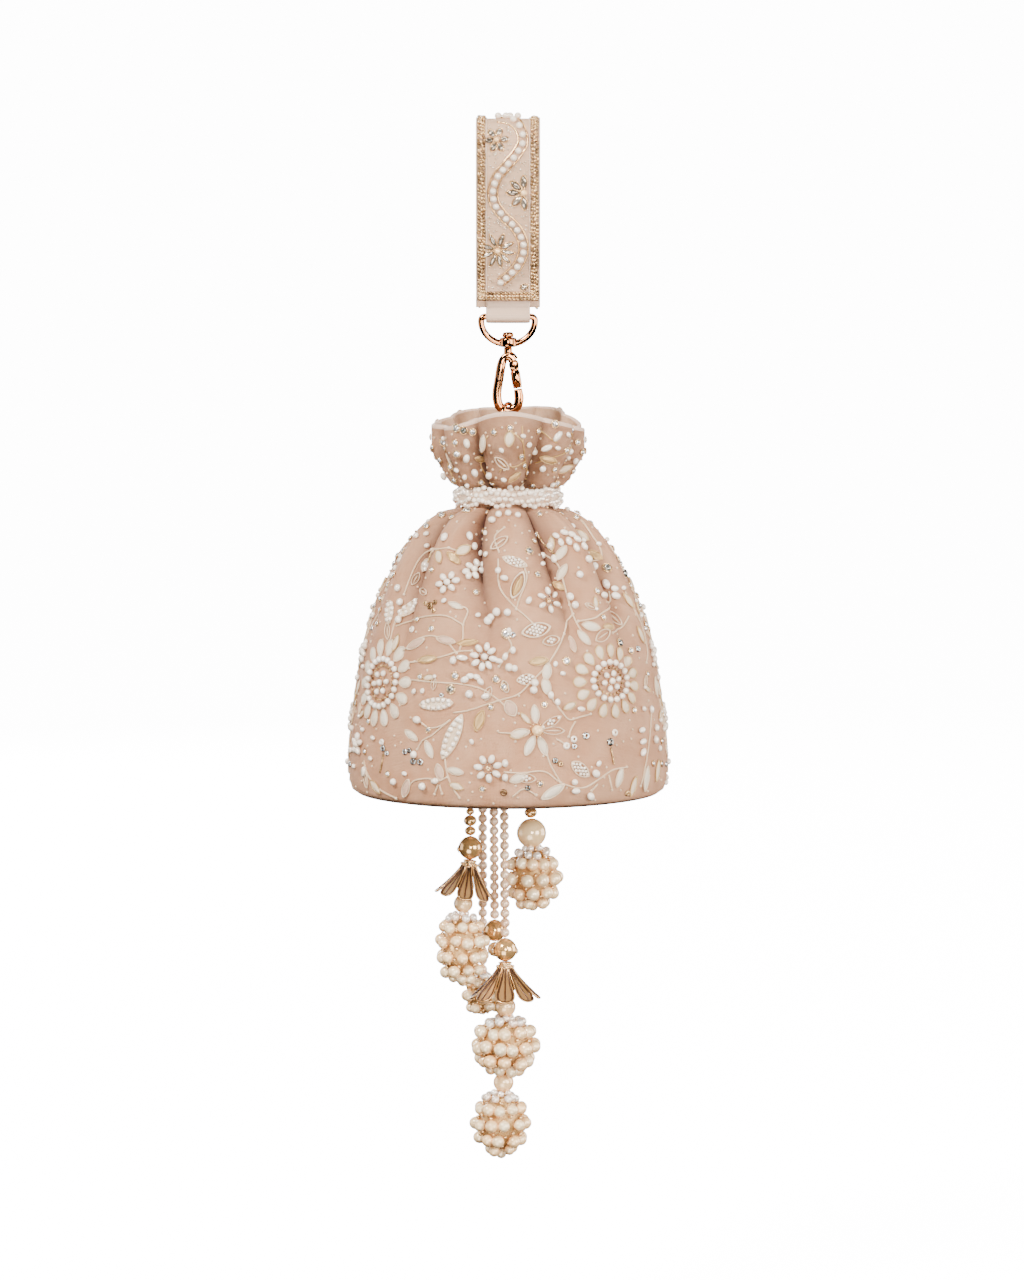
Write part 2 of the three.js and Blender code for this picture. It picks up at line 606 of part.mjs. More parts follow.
function basePanel() {
  const edge = POUCH_SECTIONS.at(-1).radius * BASE_RADIUS - CLEARANCE;
  const outline = clothColumns().map((column) => {
    const { angle } = columnAt(column, POUCH_SECTIONS.at(-1));
    return new THREE.Vector2(edge * Math.sin(angle), -edge * Math.cos(angle));
  });
  const settings = { depth: BASE_THICKNESS, bevelEnabled: false };
  const panel = new THREE.ExtrudeGeometry(new THREE.Shape(outline), settings);
  panel.translate(0, 0, BASE_Z);
  return named("base_panel", panel, CLOTH);
}

function neckRope() {
  const steps = 24;
  const sides = 8;
  const middle = NECK_RADIUS + ROPE_GAP + ROPE_THICKNESS / 2;
  const rings = Array.from({ length: steps }, (_, i) => {
    const angle = (i / steps) * Math.PI * 2;
    const z = neckHeight(angle);
    return Array.from({ length: sides }, (_, k) => {
      const turn = (-k / sides) * Math.PI * 2;
      const r = middle + (Math.cos(turn) * ROPE_THICKNESS) / 2;
      const rise = (Math.sin(turn) * ROPE_HEIGHT) / 2;
      return new THREE.Vector3(r * Math.sin(angle), -r * Math.cos(angle), z + rise);
    });
  });
  return named("neck_rope", skin(rings, true), WHITE_BEAD);
}

// Pieces of the strands. Each hangs from its own top at the origin, down -Z, and gives its
// length.

function pearlDrop(size) {
  return { geometry: roundBead(size, 10, 6).translate(0, 0, -size / 2), length: size, material: CREAM_PEARL };
}

function beadRow(sizes) {
  const squash = 0.86;
  const points = [];
  let z = 0;
  sizes.forEach((size, i) => {
    const length = size * squash;
    const profile = [[0.8, 0], [size / 2, length / 2], [0.8, length]];
    profile.slice(i ? 1 : 0).forEach(([r, d]) => points.push(new THREE.Vector2(r, -z - d)));
    z += length;
  });
  const closed = [new THREE.Vector2(0, 0), ...points, new THREE.Vector2(0, -z)].reverse();
  const geometry = new THREE.LatheGeometry(closed, 10).rotateX(Math.PI / 2);
  return { geometry, length: z, material: CREAM_PEARL };
}

// A string of small pearls as the plain tube that they fill.
function pearlString(length) {
  const sides = 8;
  const round = Array.from({ length: sides }, (_, k) => {
    const turn = (k / sides) * Math.PI * 2;
    return new THREE.Vector2((Math.cos(turn) * STRING_PEARL) / 2, (Math.sin(turn) * STRING_PEARL) / 2);
  });
  const thread = new THREE.LineCurve3(new THREE.Vector3(0, 0, -length), new THREE.Vector3(0, 0, 0));
  const tube = new THREE.ExtrudeGeometry(new THREE.Shape(round), { steps: 3, extrudePath: thread });
  return { geometry: tube, length, material: CREAM_PEARL };
}

// A champagne pearl ball with a small cut stone set on either side.
function stoneBall(size) {
  const girdle = BALL_STONE / 2;
  const stone = [
    new THREE.Vector2(0, 0),
    new THREE.Vector2(girdle * 0.8, 0),
    new THREE.Vector2(girdle, BALL_STONE * 0.55),
    new THREE.Vector2(girdle * 0.55, BALL_STONE * 0.8),
    new THREE.Vector2(0, BALL_STONE * 0.8),
  ];
  let ball = solidOf(roundBead(size, 10, 6));
  [-1, 1].forEach((sign) => {
    const set = new THREE.LatheGeometry(stone, 8).rotateZ((-sign * Math.PI) / 2);
    set.translate(sign * (size / 2 - BALL_STONE * 0.25), 0, -size * 0.06);
    ball = ball.add(solidOf(set));
  });
  return { geometry: geometryOf(ball).translate(0, 0, -size / 2), length: size, material: GOLD_PEARL };
}

// A bell of leaf-shaped petals round a small collar, with a pin down its middle that carries
// the pearl below. Each petal's sheet is cupped.
function petalCap(radius) {
  const collar = 2.4;
  const leaf = [
    { along: 0.02, wide: 0.14 },
    { along: 0.4, wide: 0.35 },
    { along: 0.78, wide: 0.69 },
    { along: 1, wide: 0.3 },
  ];
  const halfWide = (Math.PI * radius) / CAP_PETALS;
  const petalRing = ({ along, wide }, turn) => {
    const out = lerp(CAP_NECK_RADIUS * 0.75, radius, Math.pow(along, 1.3));
    const z = -lerp(collar * 0.5, CAP_HEIGHT, along);
    const half = halfWide * wide;
    const cup = half * 0.3;
    const outline = [
      { out: out - cup, side: -half },
      { out: out - CAP_SHEET, side: 0 },
      { out: out - cup, side: half },
      { out, side: 0 },
    ];
    return outline.map((p) => new THREE.Vector3(p.side, -p.out, z).applyAxisAngle(UP, turn));
  };
  const profile = [
    new THREE.Vector2(0, CAP_TUCK - CAP_HEIGHT),
    new THREE.Vector2(CAP_STEM / 2, CAP_TUCK - CAP_HEIGHT),
    new THREE.Vector2(CAP_STEM / 2, -collar * 1.5),
    new THREE.Vector2(CAP_NECK_RADIUS * 1.1, -collar * 1.5),
    new THREE.Vector2(CAP_NECK_RADIUS * 0.84, -collar * 0.4),
    new THREE.Vector2(CAP_NECK_RADIUS, 0),
    new THREE.Vector2(0, 0),
  ];
  let cap = solidOf(new THREE.LatheGeometry(profile, CAP_PETALS).rotateX(Math.PI / 2));
  for (let i = 0; i < CAP_PETALS; i++) {
    const turn = (i / CAP_PETALS) * Math.PI * 2;
    cap = cap.add(solidOf(skin(leaf.map((station) => petalRing(station, turn)))));
  }
  return { geometry: geometryOf(cap), length: CAP_HEIGHT, material: PALE_GOLD };
}

// A ball of pearls: half pearls on the flat places of a convex core.
function pearlCluster({ width, height, pearl }, rows) {
  const sides = 10;
  const across = (width - pearl) / 2;
  const topTilt = rad(rows[0].tilt);
  const up = height / 2 / Math.sin(topTilt) - (pearl * rows[0].size) / 2;
  const radii = new THREE.Vector3(across, across, up);
  const girdles = [];
  const tips = [];
  rows.forEach(({ tilt, size }, row) => {
    const half = (pearl * size) / 2;
    const reach = across * Math.cos(rad(tilt));
    const count = Math.floor((2 * Math.PI * reach) / (pearl * size * PEARL_PITCH));
    for (let i = 0; i < count; i++) {
      const turn = ((i + (row % 2) / 2) / count) * Math.PI * 2;
      const rise = up * Math.sin(rad(tilt));
      const place = new THREE.Vector3(reach * Math.sin(turn), -reach * Math.cos(turn), rise);
      const outwards = place.clone().divide(radii).divide(radii).normalize();
      const across1 = new THREE.Vector3().crossVectors(UP, outwards).normalize();
      const across2 = new THREE.Vector3().crossVectors(outwards, across1);
      const ringAt = (radius, above) =>
        Array.from({ length: sides }, (_, k) => {
          const around = (k / sides) * Math.PI * 2;
          return place
            .clone()
            .addScaledVector(outwards, above)
            .addScaledVector(across1, radius * Math.cos(around))
            .addScaledVector(across2, radius * Math.sin(around));
        });
      const tip = place.clone().addScaledVector(outwards, half);
      girdles.push(ringAt(half, 0));
      tips.push({ shoulder: ringAt(half * 0.72, half * 0.68), tip });
    }
  });
  const triangles = coreBetween(girdles);
  girdles.forEach((girdle, i) => {
    const { shoulder, tip } = tips[i];
    for (let k = 0; k < sides; k++) {
      const next = (k + 1) % sides;
      triangles.push(girdle[k], girdle[next], shoulder[next]);
      triangles.push(girdle[k], shoulder[next], shoulder[k]);
      triangles.push(shoulder[k], shoulder[next], tip);
    }
  });
  const geometry = new THREE.BufferGeometry().setFromPoints(triangles);
  geometry.computeBoundingBox();
  const { min, max } = geometry.boundingBox;
  geometry.translate(0, 0, -max.z);
  return { geometry, length: max.z - min.z, material: CREAM_PEARL };
}

// The convex hull of some rings without the flat face inside each ring.
function coreBetween(rings) {
  const key = (p) => p.toArray().map(Math.fround).join(" ");
  const ringOf = new Map(rings.flatMap((ring, i) => ring.map((p) => [key(p), { ring: i, point: p }])));
  const hull = new ConvexGeometry(rings.flat()).getAttribute("position");
  const triangles = [];
  for (let i = 0; i < hull.count; i += 3) {
    const corner = (k) => ringOf.get(key(new THREE.Vector3().fromBufferAttribute(hull, i + k)));
    const corners = [corner(0), corner(1), corner(2)];
    const inOneRing = corners.every(({ ring }) => ring === corners[0].ring);
    if (!inOneRing) triangles.push(...corners.map(({ point }) => point));
  }
  return triangles;
}

const MAKERS = {
  beads: (piece) => beadRow(piece.sizes),
  pearl: (piece) => pearlDrop(piece.size),
  string: (piece) => pearlString(piece.length),
  ball: (piece) => stoneBall(piece.size),
  cap: (piece) => petalCap(piece.radius),
  cluster: (piece) => pearlCluster(piece.size, piece.rows),
};

// Hangs a strand's pieces one under the other, each along its own stretch of thread.
function strand({ name, side, depth, lean, pieces }) {
  const group = new THREE.Group();
  const cursor = new THREE.Vector3(side, depth, BASE_Z - CLEARANCE);
  pieces.forEach((piece) => {
    const made = MAKERS[piece.kind](piece);
    const slant = new THREE.Euler(0, rad(-(piece.lean ?? lean)), 0);
    const down = new THREE.Vector3(0, 0, -1).applyEuler(slant);
    cursor.addScaledVector(down, -(piece.tuck ?? 0));
    const mesh = named(name + "_" + piece.label, made.geometry, made.material);
    mesh.rotation.copy(slant);
    mesh.position.copy(cursor);
    group.add(mesh);
    cursor.addScaledVector(down, made.length + CLEARANCE);
  });
  return group;
}

const potli = new THREE.Group();
potli.name = "potli_bag";
potli.add(strapBand(), strapTab(), swivelEye(), snapHook(), hookGate(), hangerRing(), hangerTape());
potli.add(pouchCloth(), basePanel(), neckRope());
STRANDS.forEach((each) => potli.add(strand(each)));

export default potli;
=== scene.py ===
"""The looks of a beaded potli bag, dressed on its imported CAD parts.

The shapes are worked out in millimetres, +Z up, with the front facing -Y, and go into the meshes
in metres. The origin is the inside of the top of the wrist strap's loop.
"""

import logging
import math
from dataclasses import dataclass, field, replace
from enum import Enum

import bpy
import numpy as np
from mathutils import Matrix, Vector


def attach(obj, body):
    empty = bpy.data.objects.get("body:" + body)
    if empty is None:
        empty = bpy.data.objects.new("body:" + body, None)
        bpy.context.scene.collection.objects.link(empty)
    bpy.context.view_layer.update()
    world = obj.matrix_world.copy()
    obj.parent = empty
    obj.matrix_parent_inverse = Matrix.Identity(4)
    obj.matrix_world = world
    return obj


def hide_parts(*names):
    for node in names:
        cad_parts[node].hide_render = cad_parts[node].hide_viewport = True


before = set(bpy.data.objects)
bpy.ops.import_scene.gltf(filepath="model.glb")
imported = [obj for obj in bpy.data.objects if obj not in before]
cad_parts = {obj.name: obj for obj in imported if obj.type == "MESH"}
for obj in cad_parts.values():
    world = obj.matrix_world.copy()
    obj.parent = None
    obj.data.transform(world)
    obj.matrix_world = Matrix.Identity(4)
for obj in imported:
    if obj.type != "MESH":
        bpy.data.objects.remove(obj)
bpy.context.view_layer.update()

MM = 0.001
LOG = logging.getLogger("potli")

Array = np.ndarray
Rgb = tuple[float, float, float]
Tree = bpy.types.NodeTree
Socket = bpy.types.NodeSocket


# Surfaces


@dataclass
class Surface:
    """Points in millimetres and the faces between them, triangles with -1 as their fourth corner."""

    points: Array
    faces: Array
    flat: Array | None = None
    tint: Array | None = None

    def moved(self, shift: tuple[float, float, float]) -> "Surface":
        """Returns the surface moved by a shift."""
        return replace(self, points=self.points + np.array(shift, float))

    def turned(self, axes: Array) -> "Surface":
        """Returns the surface with its x, y and z laid along the rows of axes."""
        return replace(self, points=self.points @ np.asarray(axes, float))


def grid(points: Array, round_rows: bool = False, round_columns: bool = False, flat: Array | None = None) -> Surface:
    """Makes the faces of a grid: corner (i, j) joins (i, j+1), (i+1, j+1) and (i+1, j).

    Args:
        points: rows by columns by 3.
        round_rows: whether the last row joins the first.
        round_columns: whether the last column joins the first.
        flat: rows by columns by 2, where each point lies on the cut cloth.
    Returns:
        The grid as a surface.
    """
    rows, columns = points.shape[:2]
    i, j = np.meshgrid(
        np.arange(rows if round_rows else rows - 1),
        np.arange(columns if round_columns else columns - 1),
        indexing="ij",
    )
    below, beside = (i + 1) % rows, (j + 1) % columns
    faces = np.stack([i * columns + j, i * columns + beside, below * columns + beside, below * columns + j], -1)
    return Surface(points.reshape(-1, 3), faces.reshape(-1, 4), None if flat is None else flat.reshape(-1, 2))


def weld(surface: Surface, step: float = 1e-4) -> Surface:
    """Merges points closer than step and turns the quads that lose a corner into triangles."""
    keys = np.round(surface.points / step).astype(np.int64)
    _, first, place = np.unique(keys, axis=0, return_index=True, return_inverse=True)
    faces = place.reshape(-1)[surface.faces]
    same = faces == np.roll(faces, -1, axis=1)
    whole = faces[~same.any(1)]
    once = same.sum(1) == 1
    lost = np.argmax(same[once], axis=1)
    short = np.take_along_axis(faces[once], (lost[:, None] + np.arange(1, 4)) % 4, axis=1)
    short = np.hstack([short, np.full((len(short), 1), -1)])
    return Surface(surface.points[first], np.vstack([whole, short]))


def joined(parts: list[Surface]) -> Surface:
    """Puts several surfaces into one, in order."""
    starts = np.cumsum([0] + [len(part.points) for part in parts[:-1]])
    faces = np.vstack([np.where(part.faces >= 0, part.faces + start, -1) for part, start in zip(parts, starts)])
    tints = [np.zeros(len(part.points)) if part.tint is None else part.tint for part in parts]
    flats = [np.zeros((len(part.points), 2)) if part.flat is None else part.flat for part in parts]
    return Surface(np.vstack([part.points for part in parts]), faces, np.vstack(flats), np.concatenate(tints))


def lathe(profile: list[tuple[float, float]], sides: int) -> Surface:
    """Turns a profile of (radius, height) round Z: (r sin t, -r cos t, z). Bottom first faces out."""
    line = np.array(profile, float)
    turn = np.linspace(0, 2 * math.pi, sides, endpoint=False)
    radius, height = line[:, :1], line[:, 1:]
    points = np.stack([radius * np.sin(turn), -radius * np.cos(turn), height + 0 * turn], -1)
    return weld(grid(points, round_columns=True))


def ellipsoid(sides: int, bands: int) -> Surface:
    """A ball of diameter 1: z is half the sine of the latitude and r half its cosine."""
    latitude = np.linspace(-math.pi / 2, math.pi / 2, bands + 1)
    return lathe(list(zip(np.cos(latitude) / 2, np.sin(latitude) / 2)), sides)


def unit(vectors: Array) -> Array:
    """Returns vectors of length 1 along the given ones."""
    return vectors / np.maximum(np.linalg.norm(vectors, axis=-1, keepdims=True), 1e-12)


def scattered(shape: Surface, places: Array, frames: Array, tints: Array | None = None) -> Surface:
    """Repeats one shape: copy k has its points at place k + x*frame[k,0] + y*frame[k,1] + z*frame[k,2].

    Args:
        shape: the shape to repeat, about its own origin.
        places: where the copies go, n by 3.
        frames: the copies' scaled axes, n by 3 by 3.
        tints: a number for each copy, from which its finish varies.
    Returns:
        All the copies as one surface.
    """
    count, size = len(places), len(shape.points)
    points = places[:, None, :] + np.einsum("pk,nkc->npc", shape.points, frames)
    shift = (np.arange(count) * size)[:, None, None]
    faces = np.where(shape.faces[None] >= 0, shape.faces[None] + shift, -1).reshape(-1, 4)
    tint = np.repeat(np.zeros(count) if tints is None else tints, size)
    return Surface(points.reshape(-1, 3), faces, None, tint)


def upright_frames(sizes: Array) -> Array:
    """Axis-aligned frames for copies of those sizes, n or n by 3."""
    sizes = np.asarray(sizes, float)
    sizes = np.repeat(sizes[:, None], 3, 1) if sizes.ndim == 1 else sizes
    return np.eye(3)[None] * sizes[:, :, None]


def spline(points: Array, count: int, closed: bool = False) -> Array:
    """A centripetal Catmull-Rom line through the points, in count points of even spacing.

    Args:
        points: what the line passes through, n by any.
        count: how many points it has.
        closed: whether it runs back to its start, which isn't repeated.
    Returns:
        The line's points.
    """
    p = np.asarray(points, float)
    ends = (p[-1:], p[:2]) if closed else (2 * p[:1] - p[1:2], 2 * p[-1:] - p[-2:-1])
    p = np.vstack([ends[0], p, ends[1]])
    gap = np.sqrt(np.maximum(np.linalg.norm(np.diff(p, axis=0), axis=1), 1e-9))
    knots = np.concatenate([[0], np.cumsum(gap)])
    spans = len(p) - 3
    fine = 24
    k = np.repeat(np.arange(1, spans + 1), fine)
    share = np.tile(np.linspace(0, 1, fine, endpoint=False), spans)
    t = knots[k] + share * (knots[k + 1] - knots[k])

    def mix(a: Array, b: Array, ka: Array, kb: Array) -> Array:
        """The point between a and b where t lies between their knots."""
        w = ((t - ka) / (kb - ka))[:, None]
        return a * (1 - w) + b * w

    a1 = mix(p[k - 1], p[k], knots[k - 1], knots[k])
    a2 = mix(p[k], p[k + 1], knots[k], knots[k + 1])
    a3 = mix(p[k + 1], p[k + 2], knots[k + 1], knots[k + 2])
    b1 = mix(a1, a2, knots[k - 1], knots[k + 1])
    b2 = mix(a2, a3, knots[k], knots[k + 2])
    line = np.vstack([mix(b1, b2, knots[k], knots[k + 1]), p[-2:-1]])
    along = np.concatenate([[0], np.cumsum(np.linalg.norm(np.diff(line, axis=0), axis=1))])
    wanted = np.linspace(0, along[-1], count + 1 if closed else count)
    even = np.stack([np.interp(wanted, along, line[:, c]) for c in range(line.shape[1])], -1)
    return even[:-1] if closed else even


def directions(line: Array, closed: bool = False) -> Array:
    """Unit tangents of a line of points, from each point's neighbours."""
    if closed:
        return unit(np.roll(line, -1, 0) - np.roll(line, 1, 0))
    return unit(np.gradient(line, axis=0))


def bar(line: Array, up: Array, profile: Array, closed: bool = False) -> Surface:
    """Carries a closed profile along a line: point = line + a*side + b*up, for each (a, b) of the profile.

    Args:
        line: the path, n by 3.
        up: the profile's second axis at each point, n by 3 or one vector.
        profile: (a, b) pairs, m by 2 or n by m by 2, anticlockwise seen from the line's end.
        closed: whether the line runs back to its start.
    Returns:
        The bar, closed by pointed ends where the line is open.
    """
    tangent = directions(line, closed)
    up = np.broadcast_to(np.asarray(up, float), line.shape)
    side = unit(np.cross(tangent, up))
    up = unit(np.cross(side, tangent))
    shape = np.broadcast_to(profile, (len(line),) + np.shape(profile)[-2:])
    points = line[:, None] + shape[..., :1] * side[:, None] + shape[..., 1:] * up[:, None]
    if closed:
        return grid(points, round_rows=True, round_columns=True)
    ends = [np.repeat(line[k : k + 1][None], points.shape[1], 1).reshape(1, -1, 3) for k in (0, len(line) - 1)]
    return weld(grid(np.concatenate([ends[0], points, ends[1]]), round_columns=True))


def circle(diameter: float, sides: int) -> Array:
    """A round profile for a bar."""
    turn = np.linspace(0, 2 * math.pi, sides, endpoint=False)
    return np.stack([np.cos(turn), np.sin(turn)], -1) * diameter / 2


def squared(width: float, thickness: float, points: int, flat: float, blunt: float) -> Array:
    """A softly squared profile for a bar.

    Args:
        width: its size along the first axis.
        thickness: its size along the second.
        points: how many points it has.
        flat: the power of |cos t| along the first axis, squarer as it nears 0.
        blunt: the power of |sin t| along the second.
    Returns:
        The profile, points by 2.
    """
    turn = np.linspace(0, 2 * math.pi, points, endpoint=False)
    c, s = np.cos(turn), np.sin(turn)
    return np.stack([np.sign(c) * np.abs(c) ** flat * width / 2, np.sign(s) * np.abs(s) ** blunt * thickness / 2], -1)


def smooth_table(at: Array, heights: Array, values: Array) -> Array:
    """Monotone cubic curve through a table (Fritsch and Carlson's slopes), for whole arrays.

    Args:
        at: where it is wanted.
        heights: the table's heights, rising.
        values: the table's values.
    Returns:
        The curve's values.
    """
    step = np.diff(heights)
    rise = np.diff(values) / step
    before, after = rise[:-1], rise[1:]
    total = np.where(before + after == 0, 1, before + after)
    inner = np.where(before * after > 0, 2 * before * after / total, 0)
    slope = np.concatenate([[rise[0]], inner, [rise[-1]]])
    at = np.clip(at, heights[0], heights[-1])
    k = np.clip(np.searchsorted(heights, at, side="right") - 1, 0, len(step) - 1)
    s = (at - heights[k]) / step[k]
    return (
        (1 + 2 * s) * (1 - s) ** 2 * values[k]
        + s * (1 - s) ** 2 * step[k] * slope[k]
        + s**2 * (3 - 2 * s) * values[k + 1]
        + s**2 * (s - 1) * step[k] * slope[k + 1]
    )


def build(name: str, layers: list[tuple[Surface, "Finish"]], body: str) -> bpy.types.Object:
    """Puts surfaces into one smoothly shaded mesh object that rides on a body.

    Args:
        name: the piece's name.
        layers: each surface with its finish.
        body: the CAD body that the piece moves with.
    Returns:
        The object.
    """
    whole = joined([surface for surface, _ in layers])
    corners = whole.faces[whole.faces >= 0]
    sizes = (whole.faces >= 0).sum(1)
    mesh = bpy.data.meshes.new(name)
    mesh.vertices.add(len(whole.points))
    mesh.vertices.foreach_set("co", (whole.points * MM).astype(np.float32).ravel())
    mesh.loops.add(len(corners))
    mesh.loops.foreach_set("vertex_index", corners.astype(np.int32))
    mesh.polygons.add(len(sizes))
    mesh.polygons.foreach_set("loop_start", np.concatenate([[0], np.cumsum(sizes)[:-1]]).astype(np.int32))
    finishes: list[Finish] = []
    slots: list[Array] = []
    for surface, finish in layers:
        if finish not in finishes:
            finishes.append(finish)
            mesh.materials.append(finish.material())
        slots.append(np.full(len(surface.faces), finishes.index(finish)))
    mesh.polygons.foreach_set("material_index", np.concatenate(slots).astype(np.int32))
    mesh.polygons.foreach_set("use_smooth", np.full(len(sizes), True))
    mesh.update(calc_edges=True)
    cloth_map = mesh.uv_layers.new(name="Cut")
    cloth_map.data.foreach_set("uv", (whole.flat[corners] * MM).astype(np.float32).ravel())
    # The tint attribute holds each copy's random tone and, on the cloth, the crease depth for painted shade
    tint = mesh.attributes.new("tint", "FLOAT", "POINT")
    tint.data.foreach_set("value", whole.tint.astype(np.float32))
    piece = bpy.data.objects.new(name, mesh)
    bpy.context.scene.collection.objects.link(piece)
    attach(piece, body)
    LOG.info("%s: %d faces", name, len(sizes))
    return piece


# Finishes


class Pattern(Enum):
    """What a finish's colour and bump follow."""

    NET = "fine net over satin"
    WEAVE = "plain weave"
    THREAD = "laid threads"
    METAL = "polished metal"
    PEARL = "layers of lustre"
    GLASS = "cut glass over silver"


CLOTHS = (Pattern.NET, Pattern.WEAVE, Pattern.THREAD)
CLOUD_SCALE = 60.0
CLOUD_SPAN = (0.35, 0.65)
ROUGH_SPAN = (0.8, 1.2)
# Painted shade in a cloth's hollows and light on its raised threads: the colour's scale from hollow to top
HOLLOW_SHADE_SPAN = (0.86, 1.06)
COAT_ROUGHNESS = 0.08
SHEEN_ROUGHNESS = 0.4
CRYSTAL_IOR = 1.8
BUMP_STRENGTH = 0.9
NET_RANDOMNESS = 0.35
NET_WIRE = 0.16
# Painted shade and warm reflection on the edges that turn away: the facing blend and the shares of the colour
EDGE_SHADE_BLEND = 0.3
EDGE_SHADE_SHARES = (0.86, 0.60, 0.36)
# Painted shade in the creases: the shares of the colour that it darkens towards
CREASE_SHADE_SHARES = (0.13, 0.06, 0.035)
_materials: dict[str, bpy.types.Material] = {}


def wired(tree: Tree, kind: str, inputs: dict, **settings: str) -> bpy.types.Node:
    """Adds a shader node.

    Args:
        tree: the material's nodes.
        kind: the node's type.
        inputs: for each input, by name or number, a value or the output that feeds it.
        settings: the node's own attributes.
    Returns:
        The node.
    """
    made = tree.nodes.new(kind)
    for name, value in settings.items():
        setattr(made, name, value)
    for name, value in inputs.items():
        if isinstance(value, Socket):
            tree.links.new(value, made.inputs[name])
        else:
            made.inputs[name].default_value = value
    return made


@dataclass(frozen=True)
class Finish:
    """A finish and the procedural material it makes.

    colour and second are mixed by a cloudy noise and by each copy's tint, as far as spread says.
    scale is the pattern's repeats a metre and bump its relief in metres. rim paints shade and a warm
    reflection onto the edges that turn away, crease_shade paints shade into the creases, and cloth_map lays
    the pattern on the cut cloth.
    """

    name: str
    pattern: Pattern
    colour: Rgb
    second: Rgb
    roughness: float
    scale: float
    bump: float
    metallic: float = 0.0
    coat: float = 0.0
    sheen: float = 0.0
    spread: float = 0.5
    rim: float = 0.0
    # How much shade is painted into the creases, by the crease depth in the tint attribute
    crease_shade: float = 0.0
    cloth_map: bool = False

    def material(self) -> bpy.types.Material:
        """Returns the finish's material, made once."""
        if self.name not in _materials:
            _materials[self.name] = self._make()
        return _materials[self.name]

    def _make(self) -> bpy.types.Material:
        """Builds the nodes: a mottled colour, a bump in the pattern and the shader's own constants."""
        made = bpy.data.materials.new(self.name)
        made.use_nodes = True
        tree = made.node_tree
        shader = tree.nodes["Principled BSDF"]
        constants = {
            "Metallic": self.metallic,
            "Coat Weight": self.coat,
            "Coat Roughness": COAT_ROUGHNESS,
            "Sheen Weight": self.sheen,
            "Sheen Roughness": SHEEN_ROUGHNESS,
        }
        if self.pattern is Pattern.GLASS:
            constants["IOR"] = CRYSTAL_IOR
        for name, value in constants.items():
            shader.inputs[name].default_value = value
        place = wired(tree, "ShaderNodeTexCoord", {})
        source = place.outputs["UV" if self.cloth_map else "Object"]
        cloudy = {"Scale": CLOUD_SCALE, "Detail": 4.0, "Vector": source}
        cloud = wired(tree, "ShaderNodeTexNoise", cloudy).outputs["Fac"]
        tint = wired(tree, "ShaderNodeAttribute", {}, attribute_name="tint").outputs["Fac"]
        varied = wired(tree, "ShaderNodeMath", {0: tint, 1: self.spread, 2: cloud}, operation="MULTIPLY_ADD")
        span = {"From Min": CLOUD_SPAN[0], "From Max": CLOUD_SPAN[1] + self.spread, "Value": varied.outputs["Value"]}
        share = wired(tree, "ShaderNodeMapRange", span).outputs["Result"]
        ends = {"A": (*self.colour, 1), "B": (*self.second, 1), "Factor": share}
        shown = wired(tree, "ShaderNodeMix", ends, data_type="RGBA").outputs["Result"]
        low, high = (self.roughness * part for part in ROUGH_SPAN)
        rough = wired(tree, "ShaderNodeMapRange", {"To Min": low, "To Max": min(1.0, high), "Value": cloud})
        tree.links.new(rough.outputs["Result"], shader.inputs["Roughness"])
        relief = self._relief(tree, source)
        bump = wired(tree, "ShaderNodeBump", {"Distance": self.bump, "Strength": BUMP_STRENGTH, "Height": relief})
        tree.links.new(bump.outputs["Normal"], shader.inputs["Normal"])
        # Cloths get shade painted into the hollows of their net or weave, and a little light onto their raised threads
        if self.pattern in CLOTHS:
            shown = self._shaded(tree, shown, relief)
        # Paints shade and a warm reflection onto the edges that turn away from the view
        if self.rim:
            edge = wired(tree, "ShaderNodeLayerWeight", {"Blend": EDGE_SHADE_BLEND})
            shown = self._towards(tree, shown, edge.outputs["Facing"], self.rim, EDGE_SHADE_SHARES)
        # Paints shade into the creases, by the crease depth that the cloth carries in its tint attribute
        if self.crease_shade:
            shown = self._towards(tree, shown, tint, self.crease_shade, CREASE_SHADE_SHARES)
        tree.links.new(shown, shader.inputs["Base Color"])
        return made

    def _relief(self, tree: Tree, source: Socket) -> Socket:
        """Returns the pattern's height, from 0 to 1."""
        pattern = {"Scale": self.scale, "Vector": source}
        if self.pattern not in CLOTHS:
            return wired(tree, "ShaderNodeTexNoise", {**pattern, "Detail": 3.0}).outputs["Fac"]
        if self.pattern is Pattern.NET:
            cells = {**pattern, "Randomness": NET_RANDOMNESS}
            holes = wired(tree, "ShaderNodeTexVoronoi", cells, feature="DISTANCE_TO_EDGE")
            wire = {"From Max": NET_WIRE, "To Min": 1.0, "To Max": 0.0, "Value": holes.outputs["Distance"]}
            return wired(tree, "ShaderNodeMapRange", wire).outputs["Result"]
        thread = {**pattern, "Distortion": 0.6, "Detail Scale": 0.4}
        waves = [
            wired(tree, "ShaderNodeTexWave", thread, bands_direction=direction).outputs["Fac"]
            for direction in (("X", "Y") if self.pattern is Pattern.WEAVE else ("DIAGONAL",))
        ]
        if len(waves) == 1:
            return waves[0]
        return wired(tree, "ShaderNodeMath", dict(enumerate(waves)), operation="MULTIPLY").outputs["Value"]

    @staticmethod
    def _shaded(tree: Tree, colour: Socket, relief: Socket) -> Socket:
        """Paints shade into a cloth's colour in its hollows, and a little light onto its raised threads."""
        low, high = HOLLOW_SHADE_SPAN
        level = wired(tree, "ShaderNodeMapRange", {"To Min": low, "To Max": high, "Value": relief})
        scaled = {0: colour, "Scale": level.outputs["Result"]}
        return wired(tree, "ShaderNodeVectorMath", scaled, operation="SCALE").outputs["Vector"]

